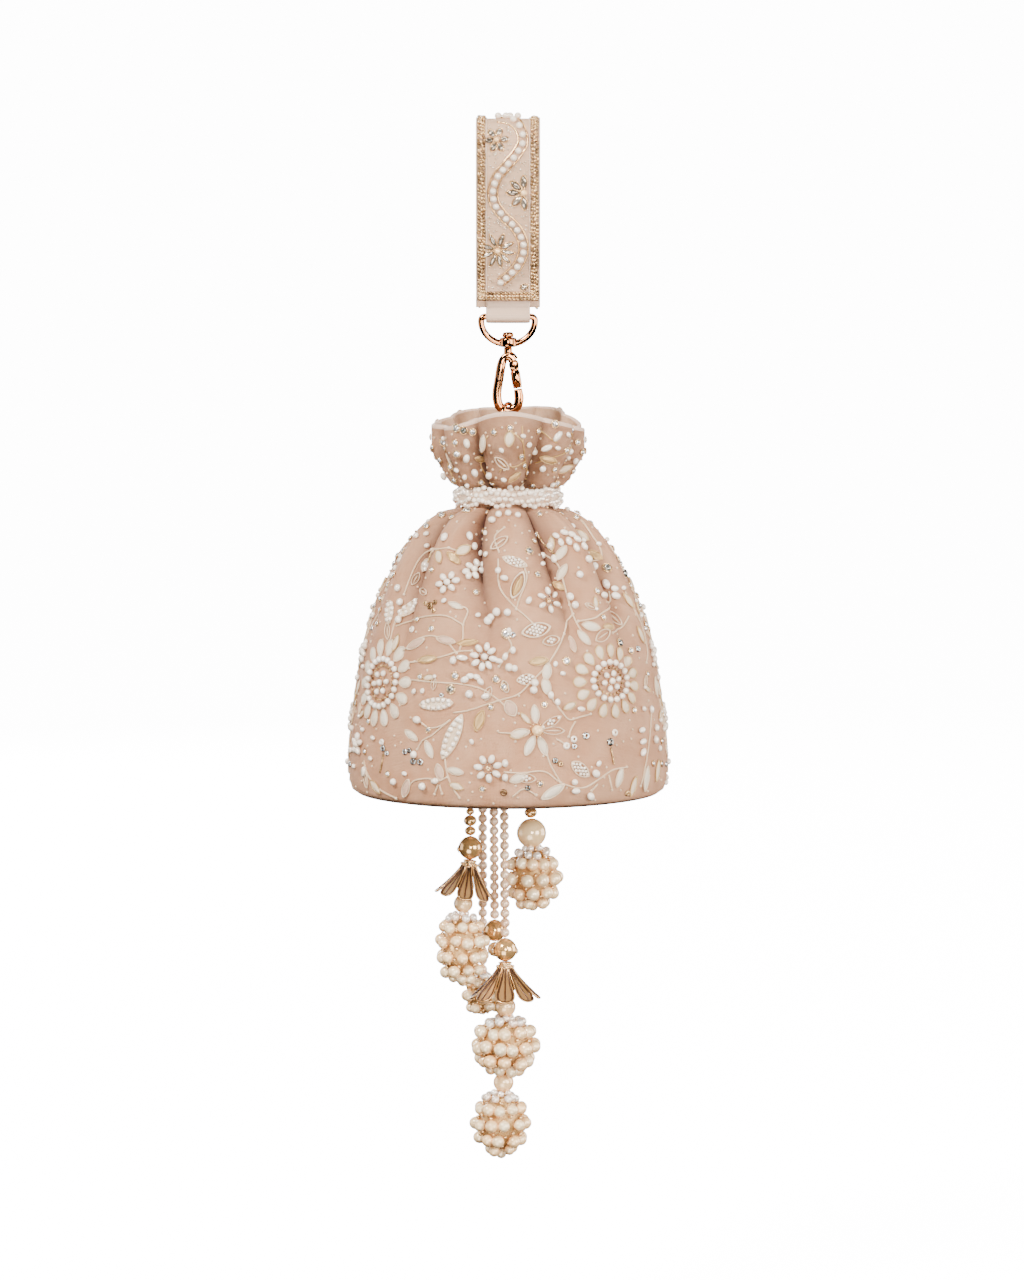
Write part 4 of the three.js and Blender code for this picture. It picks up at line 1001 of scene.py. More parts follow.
@dataclass
class WristStrap:
    """A loop of embroidered band that is sewn over the tab of the swivel eye."""

    width: float = 32.0
    thickness: float = 2.6
    loop_length: float = 88.0
    loop_depth: float = 26.0
    back_extra: float = 3.5
    tab_width: float = 22.0
    tab_thickness: float = 1.4
    tab_overlap: float = 9.0
    seam_gap: float = 0.5
    bar_height: float = -96.0
    eye_wire: float = 3.2
    clearance: float = 0.3
    border_middle: float = 13.2
    pearl: float = 3.5
    vine: tuple[tuple[float, float], ...] = (
        (-4.9, 2.0), (1.3, 0.8), (5.9, -2.8), (7.4, -8.7), (5.1, -13.3), (3.2, -16.0), (0.9, -18.3), (-1.4, -21.0),
        (-4.1, -23.8), (-6.0, -27.1), (-7.2, -30.9), (-7.4, -35.1), (-6.4, -39.3), (-3.7, -43.2), (-1.1, -46.2),
        (1.7, -48.5), (4.4, -51.6), (6.3, -55.0), (7.6, -58.8), (7.6, -63.1), (6.3, -66.9), (4.4, -70.4),
        (1.7, -73.4), (-1.1, -76.1), (-3.7, -78.4),
    )

    def route(self, count: int = 240) -> Array:
        """The band's middle line from the front panel's end, over the top, to the back panel's."""
        half = self.thickness / 2
        foot = self.tab_thickness + self.seam_gap + half
        top = self.loop_depth / 2 + half

        def side(sign: int, end: float) -> list[tuple[float, float, float]]:
            """The points that one panel runs through, from its end up."""
            return [
                (0, sign * foot, -end),
                (0, sign * foot, -end + self.tab_overlap),
                (0, sign * (foot + top) / 2, -self.loop_length * 0.66),
                (0, sign * top * 0.93, -self.loop_length * 0.36),
                (0, sign * top, -self.loop_depth * 0.55),
                (0, sign * top * 0.72, -self.loop_depth * 0.12),
            ]

        back = side(1, self.loop_length + self.back_extra)[::-1]
        return spline(np.array([*side(-1, self.loop_length), (0, 0, half), *back]), count)

    def places(self, across: Array, drop: Array, back: bool = False) -> tuple[Array, Array, Array]:
        """Where points of the band lie.

        Args:
            across: sideways from the band's middle, in millimetres, n.
            drop: depth below the loop's top, in millimetres, n.
            back: whether they are on the back panel.
        Returns:
            Points on the outside, its normals and its upward directions.
        """
        line = self.route(FINE_ROUTE)
        tangent = directions(line)
        out = np.cross([1.0, 0, 0], tangent)
        crown = int(np.argmax(line[:, 2]))
        half = slice(crown, None) if back else slice(0, crown + 1)
        z = line[half, 2]
        along = np.concatenate([[0], np.cumsum(np.linalg.norm(np.diff(line[half], axis=0), axis=1))])
        order = slice(None, None, -1) if back else slice(None)
        at = np.interp(np.clip(-drop, z.min(), z.max()), z[order], along[order])
        sign = -1.0 if back else 1.0
        place = np.stack([np.interp(at, along, line[half, k]) for k in range(3)], -1)
        normal = unit(np.stack([np.interp(at, along, out[half, k]) for k in range(3)], -1))
        upward = sign * unit(np.stack([np.interp(at, along, tangent[half, k]) for k in range(3)], -1))
        place = place + normal * self.thickness / 2 + np.array([sign, 0, 0]) * np.asarray(across)[:, None]
        return place, normal, upward

    def build(self) -> None:
        """Builds the band, its borders, vine and flowers, and the tab."""
        outline = squared(self.width, self.thickness, 28, 0.22, 0.7)
        line = self.route()
        out = np.cross([1.0, 0, 0], directions(line))
        band = build("strap_cloth_band", [(outwards(bar(line, out, outline)), STRAP_SATIN)], "strap")
        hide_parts("strap_band")
        self._borders()
        self._vine()
        self._flowers()
        self._tab()

    def _borders(self) -> None:
        """Sews twisted gold beads along both edges and across each end, between fine pipings."""
        line = self.route(FINE_ROUTE)
        tangent = directions(line)
        out = np.cross([1.0, 0, 0], tangent)
        length = np.linalg.norm(np.diff(line, axis=0), axis=1).sum()
        count = int(length / BORDER_PITCH)
        at = np.linspace(3, len(line) - 4, count)

        def take(table: Array) -> Array:
            """The table's values where the border's beads sit along the route."""
            return np.stack([np.interp(at, np.arange(len(line)), table[:, k]) for k in range(3)], -1)

        place, along, normal = take(line), unit(take(tangent)), unit(take(out))
        rng = np.random.default_rng(11)
        parts: list[tuple[Surface, Finish]] = []
        for sign in (-1, 1):
            for lane, (offset, size, finish) in enumerate(BORDER_LANES):
                # Lane 2 is raised and paler gold, a painted highlight along the crest
                shift = along * (0.8 * (lane % 2)) + normal * (self.thickness / 2 + 0.5 + 0.35 * (lane == 2))
                where = place + shift + np.array([sign * (self.border_middle + offset), 0, 0])
                where = where + rng.normal(0, 0.2, where.shape)
                sizes = np.full((count, 3), size) * [0.85, 1.25, 0.8]
                lean = np.full(count, sign * 0.7) + rng.normal(0, 0.3, count)
                parts.append((scattered(SEED, where, facing(normal, along, lean, sizes), rng.random(count)), finish))
            for offset in (-2.4, 2.35):
                sideways = np.array([sign * (self.border_middle + offset), 0, 0])
                rail = line + out * (self.thickness / 2 + 0.15) + sideways
                parts.append((tubes([rail[::4]], [out[::4]], 0.9), PIPING))
        across = np.linspace(-self.width / 2 + 2, self.width / 2 - 2, END_BEADS)
        sizes = np.full((END_BEADS, 3), 2.0) * [1.2, 0.8, 0.75]
        for back, drop in ((False, self.loop_length - 2.4), (True, self.loop_length + self.back_extra - 2.4)):
            for lane in (-1.5, 0.0, 1.4):
                where, normal, along = self.places(across, np.full(END_BEADS, drop + lane), back)
                frames = facing(normal, along, rng.normal(0.5, 0.3, END_BEADS), sizes)
                beads = scattered(SEED, where + normal * 0.4, frames, rng.random(END_BEADS))
                # The middle row across each end is paler gold, a painted highlight along its crest
                parts.append((beads, PALE_GOLD if lane == 0 else DARK_GOLD))
        build("strap_gold_borders", parts, "strap")

    def _vine(self) -> None:
        """Lays the winding row of pearls between two gold cords, on both panels."""
        control = np.array(self.vine)
        flat = spline(control, 400)
        length = np.linalg.norm(np.diff(flat, axis=0), axis=1).sum()
        beads = spline(control, int(length / (self.pearl * 1.06)))
        sizes = np.full((len(beads), 3), self.pearl)
        tangent = directions(flat)
        side = np.stack([tangent[:, 1], -tangent[:, 0]], -1)
        pearls, lines, ups = [], [], []
        for back in (False, True):
            place, normal, along = self.places(beads[:, 0], -beads[:, 1], back)
            frames = facing(normal, along, np.zeros(len(beads)), sizes)
            pearls.append(scattered(BALL, place + normal * self.pearl * 0.36, frames))
            for offset in (-2.3, 2.3):
                rail = (flat + side * offset)[::3]
                where, out, _ = self.places(np.clip(rail[:, 0], -10.6, 10.6), -rail[:, 1], back)
                lines.append(where + out * 0.25)
                ups.append(out)
        gold = tubes(lines, ups, 0.95, 6)
        build("strap_vine", [(joined(pearls), WHITE_BEAD), (gold, PALE_GOLD)], "strap")

    def _flowers(self) -> None:
        """Sets crystal petals in gold rims round pearls, and strews the ground with fine beads."""
        stones, rims, middles, seeds = [], [], [], []
        rng = np.random.default_rng(5)
        vine = spline(np.array(self.vine), 300)
        for back in (False, True):
            for across, drop, middle, turns, length, width in STRAP_FLOWERS:
                turn = np.radians(turns)
                reach = middle / 2 + length * 0.52 if middle else 0.0
                xs = across + np.sin(turn) * reach
                drops = drop - np.cos(turn) * reach
                place, normal, along = self.places(xs, drops, back)
                size = np.repeat([[width, length, 1.5]], len(turn), 0)
                stones.append(scattered(MARQUISE, place, facing(normal, along, turn, size), rng.random(len(turn))))
                rims.append(scattered(LEAF_CORD, place, facing(normal, along, turn, size * [1.12, 1.08, 4.0])))
                if middle:
                    spot, out, up = self.places(np.array([across]), np.array([drop]), back)
                    frames = facing(out, up, np.zeros(1), np.full((1, 3), middle))
                    middles.append(scattered(BALL, spot + out * middle * 0.3, frames))
            xs = rng.uniform(-10, 10, STREWN_SEEDS)
            drops = rng.uniform(1, 83, STREWN_SEEDS)
            clear = np.min(np.hypot(xs[:, None] - vine[:, 0], drops[:, None] + vine[:, 1]), 1) > 3.2
            for across, drop, _, _, length, _ in STRAP_FLOWERS:
                clear &= np.hypot(xs - across, drops - drop) > length * 1.25
            place, normal, along = self.places(xs[clear], drops[clear], back)
            count = len(place)
            size = rng.uniform(0.6, 1.1, (count, 1)) * np.ones((1, 3))
            frames = facing(normal, along, rng.uniform(0, 3, count), size)
            seeds.append(scattered(SEED, place + normal * 0.2, frames, rng.random(count)))
        parts = [
            (joined(stones), STRAP_CRYSTAL),
            (joined(rims), PALE_GOLD),
            (joined(middles), CREAM_PEARL),
            (joined(seeds[::-1]), STRAP_SEED),
        ]
        build("strap_flowers", parts, "strap")

    def _tab(self) -> None:
        """Folds the tab round the eye's bar: a flat loop whose foot is a circle about the bar."""
        seat = self.eye_wire / 2 + self.clearance + self.tab_thickness / 2
        top = -self.loop_length + self.tab_overlap
        turn = np.linspace(-0.35, math.pi + 0.35, 25)
        bow = np.stack([-seat * np.cos(turn), self.bar_height - seat * np.sin(turn)], -1)
        half = self.tab_thickness / 2
        left = np.array([[-half, top], [-half, self.bar_height + seat * 1.6]])
        right = np.array([[half, self.bar_height + seat * 1.6], [half, top]])
        route = spline(np.vstack([left, bow, right]), 90)
        line = np.column_stack([np.zeros(len(route)), route])
        out = np.cross([1.0, 0, 0], directions(line))
        outline = squared(self.tab_width, self.tab_thickness * 0.96, 20, 0.2, 0.7)
        tab = build("tab_ribbon", [(outwards(bar(line, out, outline)), TAB_SATIN)], "strap")
        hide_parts("strap_tab")


# The swivel hook


@dataclass
class SwivelHook:
    """The eye, the hook that turns under it, its gate, and the ring and tape that it carries."""

    eye_wire: float = 3.2
    eye_width: float = 26.8
    eye_height: float = 13.8
    eye_corner: float = 2.0
    bar_height: float = -96.0
    boss_diameter: float = 8.6
    boss_height: float = 4.6
    boss_middle: float = -108.8
    post_diameter: float = 3.0
    rivet_diameter: float = 5.5
    rivet_height: float = 2.5
    neck_diameter: float = 4.2
    neck_height: float = 2.0
    hook_top: float = -113.4
    hook_length: float = 29.8
    hook_width: float = 11.0
    arm_width: float = 4.6
    arm_depth: float = 4.4
    pivot_drop: float = 6.5
    pivot_side: float = 2.9
    gate_width: float = 5.0
    gate_length: float = 12.0
    gate_tongue: float = 1.8
    clearance: float = 0.3
    ring_diameter: float = 12.0
    ring_wire: float = 2.0
    ring_middle: float = -145.4
    ring_turn: float = 62.0
    tape_width: float = 4.0
    tape_thickness: float = 1.0
    tape_foot: float = -187.0
    tape_reach: float = 13.4
    tape_saddle: float = -148.7

    def hook_line(self, count: int = 90) -> Array:
        """The hook's middle line: down the plain arm, round the bottom and up to the nose."""
        reach, top, length = self.hook_width / 2, self.hook_top, self.hook_length
        nose = self.pivot_drop + self.gate_length + self.clearance
        points = [
            (0, 0, top - self.arm_width * 0.45),
            (-reach * 0.42, 0, top - length * 0.13),
            (-reach * 0.8, 0, top - length * 0.45),
            (-reach, 0, top - length * 0.76),
            (-reach * 0.72, 0, top - length * 0.93),
            (0, 0, top - length),
            (reach * 0.78, 0, top - length * 0.93),
            (reach, 0, top - length * 0.8),
            (reach * 0.9, 0, top - nose),
        ]
        return spline(np.array(points), count)

    def build(self) -> None:
        """Builds the metal pieces and the tape."""
        self._eye()
        self._hook()
        self._gate()
        self._ring()
        self._tape()

    def _eye(self) -> None:
        """Bends the D-shaped eye: a bar, two round corners and half an ellipse, with the boss below."""
        half, bow_top = self.eye_width / 2, self.bar_height - self.eye_corner
        corner = np.linspace(0, math.pi / 2, 9)
        bow = np.linspace(0, math.pi, 50)[1:-1]
        inset = half - self.eye_corner
        right = np.stack([inset + self.eye_corner * np.sin(corner), bow_top + self.eye_corner * np.cos(corner)], -1)
        drop = self.eye_height - self.eye_corner
        arc = np.stack([half * np.cos(bow), bow_top - drop * np.sin(bow)], -1)
        straight = np.stack([np.linspace(-inset, inset, 12)[1:-1], np.full(10, self.bar_height)], -1)
        flat = np.vstack([right, arc, (right * [-1, 1])[::-1], straight])
        line = np.column_stack([flat[:, 0], np.zeros(len(flat)), flat[:, 1]])
        wire = outwards(bar(line, np.array([0.0, 1, 0]), circle(self.eye_wire, 18), closed=True))
        r, h, b = self.boss_diameter / 2, self.boss_height / 2, self.post_diameter / 2 + self.clearance
        upper = [(b, h), (r - 0.9, h), (r - 0.25, h - 0.2), (r, h - 0.8)]
        profile = [*((radius, -height) for radius, height in upper), *upper[::-1], (b, -h)]
        boss = outwards(lathe(profile, 40)).moved((0, 0, self.boss_middle))
        eye = build("eye_polished", [(wire, ROSE_GOLD), (boss, ROSE_GOLD)], "strap")
        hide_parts("swivel_eye")

    def _hook(self) -> None:
        """Sweeps the hook with softly squared sides, and turns its post, rivet and pin."""
        line = self.hook_line()
        soft = squared(1, 1, 24, 0.72, 0.72)
        share = np.linspace(0, 1, len(line))
        swell = 1 - 0.12 * np.exp(-((share - 0.05) ** 2) / 0.004) - 0.1 * np.exp(-((share - 1) ** 2) / 0.002)
        profile = soft[None] * np.stack([self.arm_width * swell, self.arm_depth * swell], -1)[:, None]
        arm = outwards(bar(line, np.array([0.0, 1, 0]), profile))
        pivot = np.array([self.pivot_side, 0, self.hook_top - self.pivot_drop])
        top = np.array([0, 0, self.hook_top - self.arm_width * 0.45])
        knee = np.array([pivot[0] * 0.6, 0, self.hook_top - self.pivot_drop * 0.45])
        stub_line = spline(np.array([top, knee, pivot + [0, 0, 2.0]]), 16)
        stub = outwards(bar(stub_line, np.array([0.0, 1, 0]), soft * [self.gate_width, self.arm_depth * 0.98]))
        cheek = self.arm_depth * 0.48 - self.gate_tongue / 2 - self.clearance
        round_ear = outwards(lathe([(0, -0.5), (0.46, -0.5), (0.5, -0.4), (0.5, 0.4), (0.46, 0.5), (0, 0.5)], 28))
        sideways = np.array([[1.0, 0, 0], [0, 0, 1], [0, -1, 0]])
        ear_axes = sideways * np.array([[self.gate_width], [self.gate_width], [cheek]])
        ears = []
        for sign in (-1, 1):
            middle = pivot + [0, sign * (self.gate_tongue / 2 + self.clearance + cheek / 2), 0]
            ears.append(scattered(round_ear, middle[None], ear_axes[None]))
        pin_axes = sideways * np.array([[1.4], [1.4], [self.arm_depth * 1.06]])
        pin = scattered(round_ear, pivot[None], pin_axes[None])
        gap, rivet = self.clearance, self.rivet_height
        low = self.boss_middle - self.boss_height / 2 - gap
        high = self.boss_middle + self.boss_height / 2 + gap
        p, n, r = self.post_diameter / 2, self.neck_diameter / 2, self.rivet_diameter / 2
        profile = [
            (0, self.hook_top - self.neck_height - 0.6), (n * 0.8, self.hook_top - self.neck_height),
            (n, self.hook_top - 1), (n, low - 0.3), (n - 0.3, low), (p, low), (p, high), (r - 0.3, high),
            (r, high + 0.3), (r, high + rivet * 0.6), (r * 0.86, high + rivet * 0.9), (r * 0.5, high + rivet),
            (0, high + rivet),
        ]
        post = outwards(lathe(profile, 32))
        metal = joined([arm, stub, *ears, pin, post])
        hook = build("hook_polished", [(metal, ROSE_GOLD), (self._oval(line), BROWN_GOLD)], "bag")
        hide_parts("snap_hook")

    def _oval(self, line: Array) -> Surface:
        """Two fine oval beadings on the plain arm's front and back."""
        at = len(line) // 5
        tangent = directions(line)[at : at + 1]
        sides = np.array([[0.0, -1, 0], [0, 1, 0]])
        where = np.repeat(line[at : at + 1], 2, 0) + sides * self.arm_depth * 0.47
        frames = facing(sides, np.repeat(tangent, 2, 0), np.zeros(2), np.repeat([[2.6, 9.0, 2.4]], 2, 0))
        return scattered(LEAF_CORD, where, frames)

    def _gate(self) -> None:
        """Makes the gate as a sleeve with two collars, on a tongue round its pin."""
        pivot = np.array([self.pivot_side, 0, self.hook_top - self.pivot_drop])
        down = unit(self.hook_line()[-1] - pivot)
        length = self.gate_length - 0.2
        start = self.gate_width / 2 + self.clearance
        collars = [start, start + 0.5, start + 1.1, start + 1.3, length - 1.6, length - 1.4, length - 0.3, length]
        stations = np.array(collars)
        radius = self.gate_width * np.array([0.37, 0.45, 0.465, 0.495, 0.495, 0.46, 0.46, 0.44])
        line = pivot + down * stations[:, None]
        sleeve = outwards(bar(line, np.array([0.0, 1, 0]), circle(1, 24)[None] * (2 * radius)[:, None, None] * 0.96))
        tongue_line = pivot + down * np.linspace(-1.6, start + 0.8, 8)[:, None]
        wide = np.array([0.55, 0.85, 1, 1, 1, 0.95, 0.9, 0.8]) * self.gate_width * 0.92
        profile = circle(1, 16)[None] * np.stack([wide, np.full(8, self.gate_tongue)], -1)[:, None]
        tongue = outwards(bar(tongue_line, np.array([0.0, 1, 0]), profile))
        gate = build("gate_polished", [(joined([sleeve, tongue]), ROSE_GOLD)], "gate")
        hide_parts("hook_gate")

    def _ring(self) -> None:
        """Turns the hanger ring about Z: a circle in the plane of Z and the turned X."""
        turn = np.linspace(0, 2 * math.pi, 48, endpoint=False)
        angle = math.radians(self.ring_turn)
        plane = np.array([math.cos(angle), math.sin(angle), 0])
        line = np.cos(turn)[:, None] * plane + np.sin(turn)[:, None] * [0, 0, 1.0]
        line = line * self.ring_diameter / 2 + [0, 0, self.ring_middle]
        up = np.cross(plane, [0, 0, 1.0])
        wire = outwards(bar(line, up, circle(self.ring_wire, 14), closed=True))
        ring = build("ring_polished", [(wire, ROSE_GOLD)], "bag")
        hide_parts("hanger_ring")

    def _tape(self) -> None:
        """Hangs the tape over the ring's wire: a flat bar in the plane across the ring."""
        bend = self.ring_wire / 2 + 2 * self.clearance + self.tape_thickness / 2
        reach, foot, saddle = self.tape_reach, self.tape_foot, self.tape_saddle
        side = [(-reach, foot), (-reach * 0.55, (foot + saddle) / 2), (-bend, saddle - bend * 1.2)]
        points = np.array([*side, (0, saddle), *[(-x, z) for x, z in side[::-1]]])
        route = spline(points, 60)
        angle = math.radians(self.ring_turn - 90)
        plane = np.array([math.cos(angle), math.sin(angle), 0])
        line = route[:, :1] * plane + route[:, 1:] * [0, 0, 1.0]
        across = np.cross(plane, [0, 0, 1.0])
        outline = squared(self.tape_thickness, self.tape_width, 16, 0.6, 0.3)
        tape = build("hanger_ribbon", [(outwards(bar(line, across, outline)), TAB_SATIN)], "bag")
        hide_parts("hanger_tape")


# The strands under the base


class Kind(Enum):
    """What hangs on a strand."""

    BEADS = "beads"
    STRING = "string"
    BALL = "ball"
    CAP = "petal cap"
    PEARL = "pearl"
    CLUSTER = "cluster"


@dataclass(frozen=True)
class Hanging:
    """One piece of a strand: its kind, CAD node, sizes and how it hangs.

    A cluster's rows are the solid's, which set its length, and packed are the rows of pearls that show,
    both as (degrees above its waist, share of the pearl's size).
    """

    kind: Kind
    node: str
    size: float = 0.0
    sizes: tuple[float, ...] = ()
    width: float = 0.0
    height: float = 0.0
    rows: tuple[tuple[float, float], ...] = ()
    packed: tuple[tuple[float, float], ...] = ()
    lean: float | None = None
    tuck: float = 0.0


@dataclass
class Strand:
    """A thread from its hole in the base, with its pieces one under the other."""

    name: str
    side: float
    depth: float
    lean: float
    pieces: tuple[Hanging, ...]
    start: float = -333.8
    gap: float = 0.3

    def build(self) -> None:
        """Builds each piece in its own frame, top at the origin and hanging down, then places it."""
        cursor = np.array([self.side, self.depth, self.start])
        for piece in self.pieces:
            lean = math.radians(self.lean if piece.lean is None else piece.lean)
            down = np.array([math.sin(lean), 0, -math.cos(lean)])
            axes = np.array([[math.cos(lean), 0, math.sin(lean)], [0, 1, 0], [-math.sin(lean), 0, math.cos(lean)]])
            cursor = cursor - down * piece.tuck
            layers, length, slot = MAKERS[piece.kind](piece)
            placed = [(surface.turned(axes).moved(tuple(cursor)), finish) for surface, finish in layers]
            made = build(piece.node + "_dressed", placed, "bag")
            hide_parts(piece.node)
            cursor = cursor + down * (length + self.gap)


Made = tuple[list[tuple[Surface, Finish]], float, str]
BIG_PEARL_SIZE = 12
PETALS = 8
COLLAR_GRAINS = 14
CORE_GRAINS = 120
GOLDEN_TURN = 2.399963


def thread(length: float, diameter: float = 0.8) -> Surface:
    """A straight thread down from the origin."""
    line = np.stack([np.zeros(6), np.zeros(6), -np.linspace(0, length, 6)], -1)
    return outwards(bar(line, np.array([0.0, 1, 0]), circle(diameter, 6)))


def make_beads(piece: Hanging) -> Made:
    """Threads round beads of the given sizes, a little flattened, on a gold thread."""
    sizes = np.array(piece.sizes)
    lengths = sizes * 0.86
    tops = np.concatenate([[0], np.cumsum(lengths)])
    middles = -(tops[:-1] + tops[1:]) / 2
    places = np.column_stack([np.zeros((len(sizes), 2)), middles])
    beads = scattered(FINE_BALL, places, upright_frames(np.stack([sizes, sizes, lengths], -1)))
    return [(beads, GOLD_PEARL), (thread(tops[-1]), GOLD_THREAD)], tops[-1], "gold_pearl"


def make_string(piece: Hanging) -> Made:
    """Threads a string of small pearls of about one size, with a seed bead at each join."""
    count = int(piece.size / 4.7)
    pitch = piece.size / count
    places = np.column_stack([np.zeros((count, 2)), -pitch * (np.arange(count) + 0.5)])
    rng = np.random.default_rng(count)
    sizes = pitch * rng.uniform(0.96, 1.04, count)
    pearls = scattered(BALL, places, upright_frames(sizes), rng.random(count))
    flat = upright_frames(np.repeat([[2.4, 2.4, 1.1]], count - 1, 0))
    joins = scattered(SEED, places[:-1] - [0, 0, pitch / 2], flat)
    layers = [(pearls, STRING_PEARL), (joins, PALE_GOLD), (thread(piece.size), CREAM_THREAD)]
    return layers, piece.size, "cream_pearl"


def make_ball(piece: Hanging) -> Made:
    """A champagne pearl ball with a cut stone in a gold rim on either side and a small cap above."""
    size = piece.size
    ball = scattered(FINE_BALL, np.array([[0, 0, -size / 2]]), upright_frames(np.array([size])))
    sides, up, still = np.array([[-1.0, 0, 0], [1, 0, 0]]), np.array([[0.0, 0, 1]] * 2), np.zeros(2)
    places = np.array([0, 0, -size * 0.56]) + sides * (size / 2 - 0.55)
    stone = facing(sides, up, still, np.repeat([[2.6, 2.6, 1.7]], 2, 0))
    rim = facing(sides, up, still, np.repeat([[3.2, 3.2, 3.2]], 2, 0))
    stones = scattered(STONE, places, stone, np.array([0.9, 0.7]))
    rims = scattered(ROUND_CORD, places + sides * 0.2, rim)
    cap = outwards(lathe([(0.5, -0.9), (2.2, -1.0), (1.8, -0.3), (0.6, 0.1), (0, 0.1)], 16))
    return [(ball, GOLD_PEARL), (stones, CRYSTAL), (rims, PALE_GOLD), (cap, PALE_GOLD)], size, "gold_pearl"


def make_pearl(piece: Hanging) -> Made:
    """One large pearl."""
    pearl = scattered(FINE_BALL, np.array([[0, 0, -piece.size / 2]]), upright_frames(np.array([piece.size])))
    if piece.size > BIG_PEARL_SIZE:
        return [(pearl, BIG_PEARL)], piece.size, "gold_pearl"
    return [(pearl, CREAM_PEARL)], piece.size, "cream_pearl"


def make_cap(piece: Hanging) -> Made:
    """A bell of eight leaf petals: out = neck..radius * share^1.3, z = -height * share, edges cupped in."""
    radius, height, neck, collar = piece.size, 18.2, 3.6, 2.4
    share = np.concatenate([np.linspace(0.03, 0.92, 18), 0.92 + 0.08 * np.sin(np.linspace(0, math.pi / 2, 7))[1:]])
    wide = smooth_table(share, np.array([0.03, 0.3, 0.6, 0.84, 0.92]), np.array([0.17, 0.28, 0.50, 0.68, 0.62]))
    wide = wide * np.where(share > 0.92, np.sqrt(np.maximum(1 - ((share - 0.92) / 0.08) ** 2, 0)), 1)
    half = (math.pi * radius / PETALS * wide)[:, None]
    across = np.linspace(-1, 1, 13)
    out = neck * 0.75 + (radius - neck * 0.75) * share**1.3
    z = -(collar * 0.5 + (height - collar * 0.5) * share)
    cup = half * 0.2 * across**2
    lip = np.minimum(half, 1.0) * 0.5 * np.abs(across) ** 8
    outer = np.stack(np.broadcast_arrays(half * across, -(out[:, None] - cup + lip), z[:, None]), -1)
    inner = outer + np.array([0, 0.55, 0.12])
    shell = np.concatenate([outer, inner[:, ::-1]], 1)
    petal = outwards(weld(grid(shell, round_columns=True)))

    def wire(line: Array, count: int, lift: float, diameter: float) -> Surface:
        """A wire along the petal's outside."""
        return outwards(bar(spline(line, count) + [0, -lift, 0], np.array([0.0, -1, 0.4]), circle(diameter, 6)))

    # The groove and vein wires are near-black brown gold: painted shade in the gaps between the petals and down each
    # petal's middle
    rim = wire(np.concatenate([outer[:, 0], outer[::-1, -1]]), 64, 0.1, 0.75)
    groove = wire(np.concatenate([outer[1:-2, 1], outer[-3:0:-1, -2]]), 52, 0.12, 1.25)
    vein = wire(outer[:-3, 6], 20, 0.05, 0.85)
    turns = np.arange(PETALS) * 2 * math.pi / PETALS
    c, s, level = np.cos(turns), np.sin(turns), 0 * turns
    axes = np.stack([np.stack([c, s, level], -1), np.stack([-s, c, level], -1), np.tile([0, 0, 1.0], (PETALS, 1))], 1)
    spot = np.zeros((PETALS, 3))
    petals = scattered(petal, spot, axes, np.linspace(0, 1, PETALS))
    rims = scattered(rim, spot, axes)
    grooves = scattered(joined([groove, vein]), spot, axes)
    profile = [
        (0, 1 - height), (0.8, 1 - height), (0.8, -collar * 1.5), (neck * 1.1, -collar * 1.5), (neck * 1.15, -collar),
        (neck * 0.8, -collar * 0.45), (neck, -0.5), (neck * 0.8, 0), (0, 0),
    ]
    stem = outwards(lathe(profile, 24))
    beads = np.arange(COLLAR_GRAINS) * 2 * math.pi / COLLAR_GRAINS
    low = np.full(COLLAR_GRAINS, -collar * 0.95)
    ring = np.stack([neck * 1.15 * np.sin(beads), neck * 1.15 * np.cos(beads), low], -1)
    grains = scattered(SEED, ring, upright_frames(np.full(COLLAR_GRAINS, 1.3)))
    gold = joined([petals, rims])
    return [(gold, CAP_GOLD), (joined([stem, grains]), PALE_GOLD), (grooves, BROWN_GOLD)], height, "pale_gold"


